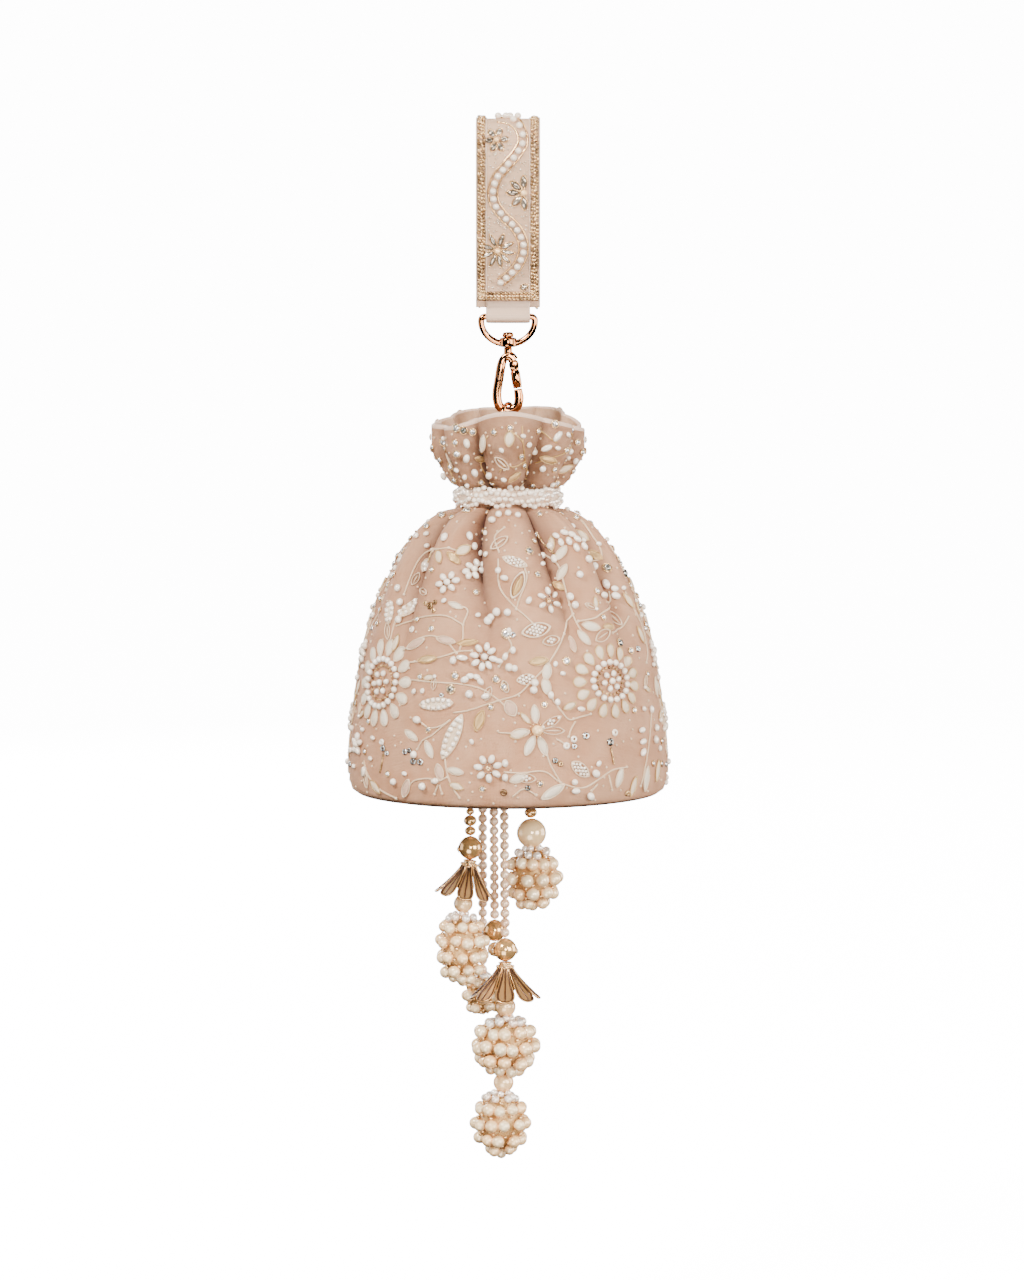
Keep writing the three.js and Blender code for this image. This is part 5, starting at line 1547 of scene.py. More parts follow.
def make_cluster(piece: Hanging) -> Made:
    """A ball of pearls: rows of whole pearls on an ellipsoid round a gold core."""
    pearl = max(piece.sizes)
    across = (piece.width - pearl) / 2
    tilt, share = np.radians([row[0] for row in piece.rows]), np.array([row[1] for row in piece.rows])
    up = piece.height / 2 / math.sin(tilt[0]) - pearl * share[0] / 2
    places, halves = [], []
    for row, (angle, size) in enumerate(zip(tilt, share)):
        reach = across * math.cos(angle)
        count = int(2 * math.pi * reach / (pearl * size * 1.36))
        turn = (np.arange(count) + (row % 2) / 2) / count * 2 * math.pi
        places.append(np.stack([reach * np.sin(turn), -reach * np.cos(turn), np.full(count, up * math.sin(angle))], -1))
        halves.append(np.full(count, pearl * size / 2))
    place, half = np.vstack(places), np.concatenate(halves)
    z, out_z = place[:, 2], unit(place / np.array([across, across, up]) ** 2)[:, 2]
    level = np.sqrt(1 - out_z**2)
    top = max((z + half * reach).max() for reach in (level, 0.68 * out_z + 0.72 * level, out_z))
    foot = min((z + half * reach).min() for reach in (-level, 0.68 * out_z - 0.72 * level, out_z))
    rng = np.random.default_rng(len(place))
    shift = np.array([0, 0, -top])
    pearls, smalls = [], []
    for row, (angle, size) in enumerate(piece.packed):
        angle = math.radians(angle)
        reach = across * math.cos(angle)
        diameter = pearl * size
        count = max(1, int(2 * math.pi * reach / (diameter * 1.02)))
        turn = (np.arange(count) + (row % 2) / 2) / count * 2 * math.pi + rng.normal(0, 0.05, count)
        spots = np.stack([reach * np.sin(turn), -reach * np.cos(turn), np.full(count, up * math.sin(angle))], -1)
        spots = spots + rng.normal(0, 0.42, spots.shape)
        sizes = upright_frames(diameter * rng.uniform(0.87, 1.0, count))
        bead = scattered(FINE_BALL, spots + shift, sizes, rng.random(count))
        (pearls if size > 0.75 else smalls).append(bead)
    core_size = np.array([[across, across, up]]) * 1.72
    core = scattered(FINE_BALL, shift[None], upright_frames(core_size))
    lift = np.arange(CORE_GRAINS)
    z = 1 - 2 * (lift + 0.5) / CORE_GRAINS
    spin = lift * GOLDEN_TURN
    ring = np.sqrt(1 - z**2)
    skin = np.stack([ring * np.sin(spin) * across, ring * np.cos(spin) * across, z * up], -1) * 0.95
    sizes = upright_frames(rng.uniform(1.6, 2.4, CORE_GRAINS))
    gold = scattered(SEED, skin + shift, sizes, rng.random(CORE_GRAINS))
    layers = [(joined(pearls), CREAM_PEARL), (core, GOLD_THREAD), (gold, PALE_GOLD)]
    if smalls:
        layers.append((joined(smalls), CRYSTAL_PEARL))
    return layers, top - foot, "cream_pearl"


MAKERS = {
    Kind.BEADS: make_beads,
    Kind.STRING: make_string,
    Kind.BALL: make_ball,
    Kind.CAP: make_cap,
    Kind.PEARL: make_pearl,
    Kind.CLUSTER: make_cluster,
}
ROUND_ROWS = ((60, 0.7), (24, 1.0), (-16, 1.0), (-57, 0.95))
SMALL_ROWS = ((56, 0.8), (8, 1.0), (-44, 1.0))
LONG_ROWS = ((62, 0.7), (33, 1.0), (2, 1.0), (-30, 1.0), (-63, 1.0))
ROUND_PACKED = ((74, 0.55), (54, 0.66), (28, 0.94), (-2, 1.0), (-32, 0.98), (-62, 0.9))
SMALL_PACKED = ((66, 0.6), (34, 0.85), (-2, 1.0), (-40, 0.95))
LONG_PACKED = ((76, 0.55), (58, 0.68), (36, 0.96), (10, 1.0), (-16, 1.0), (-42, 1.0), (-66, 0.95), (-88, 0.85))
END_PACKED = (*ROUND_PACKED, (-88, 0.85))
STRANDS = (
    Strand("left", -18.9, -10, 0, (
        Hanging(Kind.BEADS, "left_top_pearls", sizes=(4.4, 4.2, 4.2, 6.5, 5.5)),
        Hanging(Kind.BALL, "left_ball", 11.7),
        Hanging(Kind.CAP, "left_petal_cap", 14.6, lean=-9),
        Hanging(Kind.PEARL, "left_cap_pearl", 9.6, lean=-9, tuck=1),
        Hanging(
            Kind.CLUSTER, "left_cluster", sizes=(6.4,), width=28.6, height=34.4,
            rows=LONG_ROWS, packed=LONG_PACKED, tuck=0.8,
        ),
    )),
    Strand("front", -2, -6, 0.4, (
        Hanging(Kind.STRING, "front_string", 73.4),
        Hanging(Kind.BALL, "front_ball", 11.7),
        Hanging(Kind.CAP, "front_petal_cap", 17.2, lean=0),
        Hanging(Kind.PEARL, "front_cap_pearl", 10.5, lean=0, tuck=1),
        Hanging(
            Kind.CLUSTER, "front_cluster", sizes=(7.2,), width=36, height=29,
            rows=ROUND_ROWS, packed=ROUND_PACKED, tuck=1.1,
        ),
        Hanging(Kind.PEARL, "front_link_pearl", 10.2, lean=-16, tuck=1.3),
        Hanging(
            Kind.CLUSTER, "front_end_cluster", sizes=(6.8,), width=31.5, height=31,
            rows=ROUND_ROWS, packed=END_PACKED, tuck=0.9,
        ),
    )),
    Strand("back", -7.2, 8, 0.4, (
        Hanging(Kind.STRING, "back_string", 66),
        Hanging(Kind.BALL, "back_ball", 11),
        Hanging(Kind.PEARL, "back_end_pearl", 7.4),
    )),
    Strand("mid", -12.8, 22, 0, (
        Hanging(Kind.STRING, "mid_string", 96),
        Hanging(
            Kind.CLUSTER, "mid_cluster", sizes=(6.4,), width=23, height=21,
            rows=SMALL_ROWS, packed=SMALL_PACKED, tuck=0.9,
        ),
    )),
    Strand("right", 11, 6, 2, (
        Hanging(Kind.BEADS, "right_top_pearls", sizes=(5.2, 5.2, 6.4)),
        Hanging(Kind.PEARL, "right_pearl", 14.8),
        Hanging(
            Kind.CLUSTER, "right_cluster", sizes=(7,), width=31, height=30,
            rows=ROUND_ROWS, packed=END_PACKED, tuck=0.9,
        ),
    )),
)


# The neck rope and the base


@dataclass
class NeckRope:
    """Rows of seed pearls strung round the gathered neck, arched over the front.

    The rows follow a ring of radius middle at the neck's height.
    """

    middle: float = 24.45
    thickness: float = 4.4
    height: float = 8.0
    bead: float = 2.7
    sway: float = 0.7

    def build(self, cloth: PouchCloth) -> None:
        """Builds a cord core with four wavering rows of beads, of clear glass towards the sides."""
        rng = np.random.default_rng(3)
        turn = np.linspace(0, 2 * math.pi, 120, endpoint=False)
        rise = cloth.neck_height + cloth.neck_rise * ((1 + np.cos(turn)) / 2) ** 2
        line = np.stack([self.middle * np.sin(turn), -self.middle * np.cos(turn), rise], -1)
        oval = circle(1, 16) * [self.thickness * 0.86, self.height * 0.86]
        core = outwards(bar(line, np.array([0.0, 0, 1]), oval, closed=True))
        places, outs = [], []
        for lane, tilt in enumerate(np.radians([-72, -24, 24, 72])):
            radius = self.middle + self.thickness * 0.42 * math.cos(tilt)
            count = int(2 * math.pi * radius / (self.bead * 1.02))
            at = (np.arange(count) + (lane % 2) / 2) / count * 2 * math.pi + rng.normal(0, 0.006, count)
            z = cloth.neck_height + cloth.neck_rise * ((1 + np.cos(at)) / 2) ** 2 + self.height * 0.42 * math.sin(tilt)
            z = z + self.sway * np.sin(9 * at + 2 * lane) + rng.normal(0, 0.3, count)
            reach = radius + rng.normal(0, 0.25, count)
            sine, cosine = np.sin(at), np.cos(at)
            places.append(np.stack([reach * sine, -reach * cosine, z], -1))
            level = math.cos(tilt)
            outs.append(np.stack([sine * level, -cosine * level, np.full(count, math.sin(tilt))], -1))
        place, out = np.vstack(places), np.vstack(outs)
        count = len(place)
        sizes = self.bead * rng.uniform(0.9, 1.1, (count, 1)) * np.array([[1.0, 1.12, 0.95]])
        along = np.cross(out, [0, 0, 1.0]) + 1e-6
        frames = facing(out, along, rng.normal(0, 0.5, count), sizes)
        tint = rng.random(count)
        glass = (np.abs(place[:, 0]) > self.middle * 0.68) & (rng.random(count) < 0.6)
        where = place + out * 0.35
        beads = scattered(BALL, where[~glass], frames[~glass], tint[~glass])
        clear = scattered(BALL, where[glass], frames[glass], tint[glass])
        layers = [(beads, WHITE_BEAD), (clear, CRYSTAL_PEARL), (core, PIPING)]
        rope = build("neck_seed_pearls", layers, "bag")
        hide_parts("neck_rope")


@dataclass
class BasePanel:
    """The flat base inside the cloth's foot, a little crowned, with a fine seam round its edge."""

    radius: float = 75.2
    height: float = -333.5
    thickness: float = 2.6

    def build(self) -> None:
        """Builds the panel as a lathed cushion and its seam as a cord."""
        r, z, t = self.radius, self.height, self.thickness
        profile = [
            (0, z + 0.5), (r * 0.7, z + 0.45), (r - 4, z + 0.3), (r - 1.5, z + 0.05), (r - 0.3, z + 0.4),
            (r, z + 1.0), (r, z + t - 0.4), (r - 0.5, z + t), (0, z + t),
        ]
        panel = outwards(lathe(profile, 180))
        turn = np.linspace(0, 2 * math.pi, 200, endpoint=False)
        ring = np.stack([(r - 1.2) * np.sin(turn), -(r - 1.2) * np.cos(turn), np.full(200, z + 0.05)], -1)
        seam = outwards(bar(ring, np.array([0.0, 0, 1]), circle(0.7, 6), closed=True))
        base = build("base_cloth", [(panel, ROSE_PLAIN), (seam, PIPING)], "bag")
        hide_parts("base_panel")


# The embroidery


class Leaf(Enum):
    """How a leaf or petal is worked."""

    WHITE = "white satin stitch with a cream edge"
    CREAM = "cream satin stitch with a gold edge"
    ROSE = "rose satin stitch with a cream edge"
    GOLD = "gold thread with a gold edge"
    OPEN = "a cream edge with a vein"
    BEADED = "seed beads within a cream edge"


Spot = tuple[float, float]
Row = tuple[float, ...]
SEWN_HEIGHTS = (-0.995, 0.985)


@dataclass
class Stamps:
    """The pieces sewn on the cloth, by shape and finish.

    Each row holds an angle, a share of height, a width, length and thickness, a turn clockwise from
    up the cloth, and how far the piece is lifted off it.
    """

    cloth: PouchCloth
    rows: dict[tuple[str, Finish], list[Array]] = field(default_factory=dict)
    cords: dict[tuple[Finish, float], list[Surface]] = field(default_factory=dict)

    def lay(
        self, shape: str, finish: Finish, spots: Array | Spot, size: Row, turns: Array | float = 0.0, lift: float = 0.0
    ) -> None:
        """Adds copies of a shape.

        Args:
            shape: its name in SHAPES.
            finish: its finish.
            spots: angles and heights, one spot or n by 2.
            size: width, length and thickness, one row or n.
            turns: degrees clockwise from up the cloth, one or n.
            lift: height of its origin above the cloth.
        """
        spots = np.atleast_2d(np.asarray(spots, float))
        count = len(spots)
        sizes = np.broadcast_to(np.asarray(size, float), (count, 3))
        turn = np.broadcast_to(np.radians(turns), (count,))
        rows = np.column_stack([spots, sizes, turn, np.full(count, lift)])
        self.rows.setdefault((shape, finish), []).append(rows)

    def around(self, spot: Spot, right: Array, up: Array, turn: float = 0.0) -> Array:
        """Spots that lie right and up of another, in millimetres along the cloth, turned clockwise."""
        a, h = np.array([spot[0]]), np.array([spot[1]])
        lengths = self.cloth.axes(a, h)[4][0]
        c, s = math.cos(math.radians(turn)), math.sin(math.radians(turn))
        right, up = np.asarray(right, float), np.asarray(up, float)
        return np.stack([spot[0] + (right * c + up * s) / lengths[0], spot[1] + (up * c - right * s) / lengths[1]], -1)

    def cord(self, spots: Array, finish: Finish, diameter: float = 0.9, step: float = 1.1) -> None:
        """Couches a cord through spots, as a smooth line in angle and height."""
        spots = np.asarray(spots, float)
        rough = self.cloth.point(spots[:, 0], spots[:, 1])
        length = np.linalg.norm(np.diff(rough, axis=0), axis=1).sum()
        scale = [self.cloth.base, self.cloth.span]
        line = spline(spots * scale, max(4, int(length / step))) / scale
        place, _, _, out, _ = self.cloth.axes(line[:, 0], np.clip(line[:, 1], *SEWN_HEIGHTS))
        tube = outwards(bar(place + out * diameter * 0.3, out, circle(diameter, 5)))
        self.cords.setdefault((finish, diameter), []).append(tube)

    def layers(self, finishes: tuple[Finish, ...]) -> list[tuple[Surface, Finish]]:
        """Works out every piece in those finishes."""
        made = []
        rng = np.random.default_rng(29)
        for (shape, finish), parts in self.rows.items():
            if finish not in finishes:
                continue
            table = np.vstack(parts)
            place, _, upward, out, _ = self.cloth.axes(table[:, 0], np.clip(table[:, 1], *SEWN_HEIGHTS))
            frames = facing(out, upward, table[:, 5], table[:, 2:5])
            surface = scattered(SHAPES[shape], place + out * table[:, 6:7], frames, rng.random(len(table)))
            made.append((surface, finish))
        return made

    def cord_layers(self) -> list[tuple[Surface, Finish]]:
        """Puts the cords of each finish and diameter together."""
        return [(joined(sewn), finish) for (finish, _), sewn in self.cords.items()]


@dataclass
class Embroidery:
    """The beads, threads and stones on the pouch.

    Motifs are given where they show from the front: (across, drop) in millimetres, right of the
    strap's axis and down from the loop's top, as Studio.seen counts them.
    """

    cloth: PouchCloth
    studio: Studio
    stamps: Stamps = field(init=False)

    def __post_init__(self) -> None:
        """Lays a fine net of spots over the front half, from which motifs find their place."""
        self.stamps = Stamps(self.cloth)
        angle = np.radians(np.linspace(-88, 88, 353))
        self.nets = {}
        for above, heights in ((True, np.linspace(0.1, 0.99, 90)), (False, np.linspace(-0.995, -0.03, 330))):
            a, h = np.meshgrid(angle, heights)
            a, h = a.ravel(), h.ravel()
            self.nets[above] = (np.stack([a, h], -1), self.studio.seen(self.cloth.point(a, h)))

    def at(self, across: float, drop: float) -> Spot:
        """The front's spot that shows at (across, drop): the nearest of the net's."""
        spots, seen = self.nets[drop < NECK_DROP]
        nearest = np.argmin(((seen - [across, drop]) ** 2).sum(-1))
        return float(spots[nearest, 0]), float(spots[nearest, 1])

    def line(self, points: tuple[Spot, ...]) -> Array:
        """The spots of several points."""
        return np.array([self.at(*point) for point in points])

    def near(self, spot: Spot, reach: float, turn: float) -> Spot:
        """The spot that lies a reach away from another, turn degrees clockwise from up the cloth."""
        right, up = math.sin(math.radians(turn)) * reach, math.cos(math.radians(turn)) * reach
        angle, height = self.stamps.around(spot, np.array([right]), np.array([up]))[0]
        return float(angle), float(height)

    def build(self) -> list[bpy.types.Object]:
        """Works all the motifs and builds them as pieces that go with the cloth."""
        for half in (0.0, math.pi):
            self._flowers(half)
            self._pods(half)
            self._leaves(half)
            self._beads(half)
            self._vines(half)
        self._sides()
        self._filling()
        plan = (
            ("embroidery_white_beads", (WHITE_BEAD,), "white_beads"),
            ("embroidery_pearls", (CREAM_PEARL,), "cream_pearl"),
            ("embroidery_stones", (CRYSTAL, SMOKE_CRYSTAL, SEQUIN, DARK_GOLD, PALE_GOLD), "pale_gold"),
            ("embroidery_leaves", (WHITE_SATIN, CREAM_SATIN, ROSE_SATIN, GOLD_THREAD, CREAM_THREAD), "satin"),
        )
        made = [build(name, self.stamps.layers(finishes), "bag") for name, finishes, slot in plan]
        made.append(build("embroidery_cords", self.stamps.cord_layers(), "bag"))
        return made

    def leaf(self, spot: Spot, length: float, width: float, turn: float, kind: Leaf, petal: bool = False) -> None:
        """Works one leaf about a spot, pointing along turn."""
        stamps = self.stamps
        shape, edge = ("petal", "petal_edge") if petal else ("leaf", "leaf_edge")
        filled = {Leaf.WHITE: WHITE_SATIN, Leaf.CREAM: CREAM_SATIN, Leaf.ROSE: ROSE_SATIN, Leaf.GOLD: GOLD_THREAD}
        if kind in filled:
            stamps.lay(shape, filled[kind], spot, (width, length, min(1.1, width * 0.3)), turn, 0.02)
        cord = GOLD_THREAD if kind in (Leaf.GOLD, Leaf.CREAM) else CREAM_THREAD
        stamps.lay(edge, cord, spot, (width * 1.04, length * 1.03, 8.0), turn, 0.05)
        if kind is Leaf.OPEN:
            stamps.lay("leaf", CREAM_THREAD, spot, (0.7, length * 0.8, 0.7), turn, 0.1)
        if kind is Leaf.BEADED:
            pitch = 1.75
            right, up = np.meshgrid(np.arange(-4, 5) * pitch, np.arange(-7, 8) * pitch * 0.87)
            right = right + pitch / 2 * (np.arange(15) % 2)[:, None]
            narrow = np.abs(right) < width / 2 * np.maximum(1 - (2 * up / length) ** 2, 0) - 0.4
            inside = narrow & (np.abs(up) < length / 2 - 0.6)
            spots = stamps.around(spot, right[inside], up[inside], turn)
            stamps.lay("seed", WHITE_BEAD, spots, (pitch, pitch, 1.6), 0.0, 0.55)

    def ring(
        self,
        spot: Spot,
        radius: float,
        count: int,
        shape: str,
        finish: Finish,
        size: Row,
        lift: float,
        stretch: float = 1.0,
        start: float = 0.0,
    ) -> None:
        """Lays copies round a circle, each pointing outwards from its middle."""
        turn = start + np.arange(count) * 360 / count
        right = np.sin(np.radians(turn)) * radius * stretch
        up = np.cos(np.radians(turn)) * radius
        self.stamps.lay(shape, finish, self.stamps.around(spot, right, up), size, turn, lift)

    def _flowers(self, half: float) -> None:
        """Works the two sunflowers, the bead daisies and the six-petalled flower."""
        for across, drop, ring, beads, petals, reach, length, width, stretch, kind in SUNFLOWERS:
            spot = self._turned(across, drop, half)
            self.ring(spot, ring, beads, "bead", WHITE_BEAD, (3.3, 3.4, 3.1), 1.3, stretch)
            turn = np.arange(petals) * 360 / petals + 8
            right, up = np.sin(np.radians(turn)) * reach * stretch, np.cos(np.radians(turn)) * reach
            for place, lean in zip(self.stamps.around(spot, right, up), turn):
                self.leaf((place[0], place[1]), length, width, lean, kind, petal=True)
            self.ring(spot, ring * 0.72, int(ring * 2.3), "seed", DARK_GOLD, (1.5, 1.7, 1.3), 0.5, stretch)
            self.ring(spot, ring * 0.42, 6, "bead", WHITE_BEAD, (3.0, 3.4, 2.8), 1.2, stretch, 20)
            self.stamps.lay("bead", WHITE_BEAD, spot, (3.4, 3.4, 3.2), 0.0, 1.6)
            self.ring(spot, ring * 0.24, 5, "seed", PALE_GOLD, (1.2, 1.5, 1.1), 0.4, stretch, 50)
        for across, drop, reach, count, width, length, start, pearl in DAISIES:
            spot = self._turned(across, drop, half)
            self.ring(spot, reach, count, "bead", WHITE_BEAD, (width, length, 3.0), 1.25, 1.0, start)
            if pearl:
                self.stamps.lay("bead", WHITE_BEAD, spot, (3.6, 3.6, 3.4), 0.0, 1.7)
            else:
                self.stamps.lay("sequin", PALE_GOLD, spot, (2.6, 2.6, 1.2), 0.0, 0.3)
            self.ring(spot, reach * 0.52, count, "seed", SMOKE_CRYSTAL, (0.9, 0.9, 0.8), 0.5, 1.0, start + 180 / count)
        spot = self._turned(*STAR_FLOWER, half)
        for turn, length, width, kind in STAR_PETALS:
            self.leaf(self.near(spot, STAR_REACH, turn), length, width, turn, kind)
        self.stamps.lay("bead", CREAM_PEARL, spot, (5.8, 5.8, 5.2), 0.0, 2.0)
        self.ring(spot, 3.4, 12, "seed", PALE_GOLD, (1.0, 1.2, 0.9), 0.4)

    def _turned(self, across: float, drop: float, half: float) -> Spot:
        """A seen spot, or the one half way round from it."""
        angle, height = self.at(across, drop)
        return angle + half, height

    def _pods(self, half: float) -> None:
        """Works the pods: two columns of beads on a lens of cream satin with a cream edge."""
        for across, drop, length, width, turn, count in PODS:
            spot = self._turned(across, drop, half)
            up = (np.arange(count) + 0.5) / count * length - length / 2
            lens_width = width / 2 * (1 - (2 * up / length) ** 2) * 0.62 + 0.35
            size = np.stack([np.full(count, 2.7), np.full(count, length / count * 0.98), np.full(count, 2.4)], -1)
            left = self.stamps.around(spot, -lens_width, up, turn)
            self.stamps.lay("bead", WHITE_BEAD, left, size, turn, 1.0)
            right = self.stamps.around(spot, lens_width, up, turn)
            self.stamps.lay("bead", WHITE_BEAD, right, size * [0.9, 0.95, 0.9], turn, 0.8)
            self.stamps.lay("leaf_edge", CREAM_THREAD, spot, (width * 1.15, length * 1.08, 9.0), turn, 0.05)
            self.stamps.lay("leaf", CREAM_SATIN, spot, (width * 1.05, length * 1.02, 0.8), turn, 0.02)

    def _leaves(self, half: float) -> None:
        """Works every leaf of the table."""
        for across, drop, length, width, turn, kind in LEAVES:
            self.leaf(self._turned(across, drop, half), length, width, turn, kind)

    def _beads(self, half: float) -> None:
        """Sews the single beads, stones and sequins."""
        for across, drop, width, length, turn in BEADS:
            spot = self._turned(across, drop, half)
            shape = "barrel" if length > width * 1.7 else "bead"
            self.stamps.lay(shape, WHITE_BEAD, spot, (width, length, width * 0.92), turn, width * 0.36)
        for across, drop, size, finish in STONES:
            spot = self._turned(across, drop, half)
            self.stamps.lay("stone", finish, spot, (size, size, size * 0.5), 30.0, 0.1)
            self.stamps.lay("round_edge", PALE_GOLD, spot, (size * 1.12, size * 1.12, 4.0), 0.0, 0.1)
        for across, drop, size, finish in SEQUINS:
            spot = self._turned(across, drop, half)
            self.stamps.lay("sequin", finish, spot, (size, size, 1.2), 0.0, 0.15)
        for chain in CHAINS:
            spots = self.line(chain) + [half, 0]
            line = spline(spots * CHAIN_SCALE, int(8 * len(chain))) / CHAIN_SCALE
            self.stamps.lay("seed", DARK_GOLD, line, (1.1, 1.5, 1.0), 0.0, 0.45)

    def _vines(self, half: float) -> None:
        """Couches the vines in cream thread, with a knot at their last end, and the collar's in gold."""
        for points in VINES:
            spots = self.line(points) + [half, 0]
            self.stamps.cord(spots, CREAM_THREAD, 0.95)
            self.stamps.lay("seed", CREAM_THREAD, spots[-1:], (1.6, 1.6, 1.2), 0.0, 0.3)
        for points in COLLAR_VINES:
            self.stamps.cord(self.line(points) + [half, 0], GOLD_THREAD, 0.85)

    def _sides(self) -> None:
        """Works a tall spray on each side, mirrored: a vine with leaves, beads and a daisy."""
        for middle, sign in ((math.pi / 2, 1), (-math.pi / 2, -1)):
            def spots(points: tuple[Spot, ...]) -> Array:
                """Spots of (millimetres towards the front, share of height)."""
                table = np.array(points)
                return np.stack([middle - sign * table[:, 0] / SIDE_RADIUS, table[:, 1]], -1)

            for points in SIDE_VINES:
                self.stamps.cord(spots(points), CREAM_THREAD, 0.95)
            for right, height, length, width, turn, kind in SIDE_LEAVES:
                spot = spots(((right, height),))[0]
                self.leaf((spot[0], spot[1]), length, width, -sign * turn, kind)
            for right, height, reach, count in SIDE_DAISIES:
                spot = spots(((right, height),))[0]
                self.ring((spot[0], spot[1]), reach, count, "bead", WHITE_BEAD, (3.0, 4.0, 2.8), 1.2)
                self.stamps.lay("bead", WHITE_BEAD, spot, (3.4, 3.4, 3.2), 0.0, 1.5)
            beads = spots(SIDE_BEADS)
            self.stamps.lay("bead", WHITE_BEAD, beads, (2.8, 3.4, 2.6), 20.0, 0.9)
            self.stamps.lay("stone", CRYSTAL, spots(SIDE_STONES), (3.0, 3.0, 1.6), 0.0, 0.1)

    def _filling(self) -> None:
        """Strews small sprigs, knots and stones where the cloth is still bare.

        Of many seeded spots, one is kept where nothing else is sewn within its clearance.
        """
        rng = np.random.default_rng(17)
        taken = [rows[:, :2] for parts in self.stamps.rows.values() for rows in parts]
        taken.append(np.empty((0, 2)))
        sewn = np.vstack(taken)
        sewn = self.cloth.point(sewn[:, 0], np.clip(sewn[:, 1], -0.99, 0.98))
        for shape, tries, clearance, low, high in FILLING:
            angle, height = rng.uniform(0, 2 * math.pi, tries), rng.uniform(low, high, tries)
            turn = rng.uniform(0, 360, tries)
            for k in range(tries):
                here = self.cloth.point(angle[k], height[k])
                if np.min(((sewn - here) ** 2).sum(-1)) < clearance**2:
                    continue
                sewn = np.vstack([sewn, here])
                spot = (float(angle[k]), float(height[k]))
                if shape == "sprig":
                    for side, kind in ((-38, Leaf.OPEN), (38, Leaf.CREAM)):
                        lean = turn[k] + side
                        self.leaf(self.near(spot, 3.4, lean), 6.2, 2.8, lean, kind)
                    self.stamps.lay("seed", WHITE_BEAD, spot, (2.2, 2.2, 2.0), 0.0, 0.7)
                elif shape == "stone":
                    self.stamps.lay("stone", CRYSTAL, spot, (2.6, 2.6, 1.3), turn[k], 0.1)
                    self.stamps.lay("round_edge", PALE_GOLD, spot, (3.0, 3.0, 4.0), 0.0, 0.1)
                elif shape == "bead":
                    self.stamps.lay("bead", WHITE_BEAD, spot, (2.5, 3.2, 2.3), turn[k], 0.85)
                else:
                    self.stamps.lay("seed", CREAM_THREAD, spot, (1.3, 1.3, 0.9), 0.0, 0.25)


NECK_DROP = 189.0
SIDE_RADIUS = 76.0
CHAIN_SCALE = np.array([79.0, 150.0])
SHAPES = {
    "bead": LITTLE_BALL,
    "seed": SEED,
    "barrel": BARREL,
    "stone": STONE,
    "leaf": LEAF,
    "leaf_edge": LEAF_CORD,
    "petal": PETAL,
    "petal_edge": PETAL_CORD,
    "sequin": SEQUIN_RING,
    "round_edge": ROUND_CORD,
}

# Sunflowers: across, drop, ring radius, ring beads, petals, petals' reach, length, width, stretch, kind
SUNFLOWERS = (
    (51.2, 277.2, 9.3, 17, 15, 14.9, 7.0, 4.8, 1.22, Leaf.CREAM),
    (-63.2, 277.8, 11.8, 21, 14, 17.8, 8.2, 5.2, 1.0, Leaf.WHITE),
)
# Bead daisies: across, drop, reach, beads, width, length, start turn, whether a pearl is in the middle
DAISIES = (
    (-12.0, 265.0, 5.0, 8, 3.2, 4.8, 10, True),
    (-9.7, 320.5, 4.9, 7, 3.4, 4.8, 20, False),
    (-30.1, 227.9, 4.0, 6, 3.3, 4.4, 15, True),
    (-17.7, 221.8, 4.3, 7, 3.3, 4.4, 0, True),
    (-74.5, 308.5, 3.8, 5, 3.2, 4.2, 0, True),
    (20.2, 237.0, 5.0, 6, 2.6, 4.4, 0, False),
)
STAR_FLOWER = (14.2, 302.0)
STAR_REACH = 8.2
# The star flower's petals: turn, length, width, kind
STAR_PETALS = (
    (-5, 8.6, 4.0, Leaf.WHITE),
    (62, 11.0, 3.6, Leaf.BEADED),
    (92, 11.0, 3.6, Leaf.OPEN),
    (160, 9.4, 4.0, Leaf.WHITE),
    (206, 9.8, 4.2, Leaf.WHITE),
    (263, 9.0, 4.0, Leaf.WHITE),
    (318, 7.0, 2.6, Leaf.CREAM),
)
# Pods: across, drop, length, width, turn, beads in a column
PODS = (
    (-27.8, 305.0, 21.0, 6.2, 23, 7),
    (-35.5, 288.3, 16.5, 5.2, 84, 6),
    (-48.4, 240.2, 14.0, 4.6, 50, 5),
    (-58.6, 242.6, 11.0, 4.4, -22, 4),
)
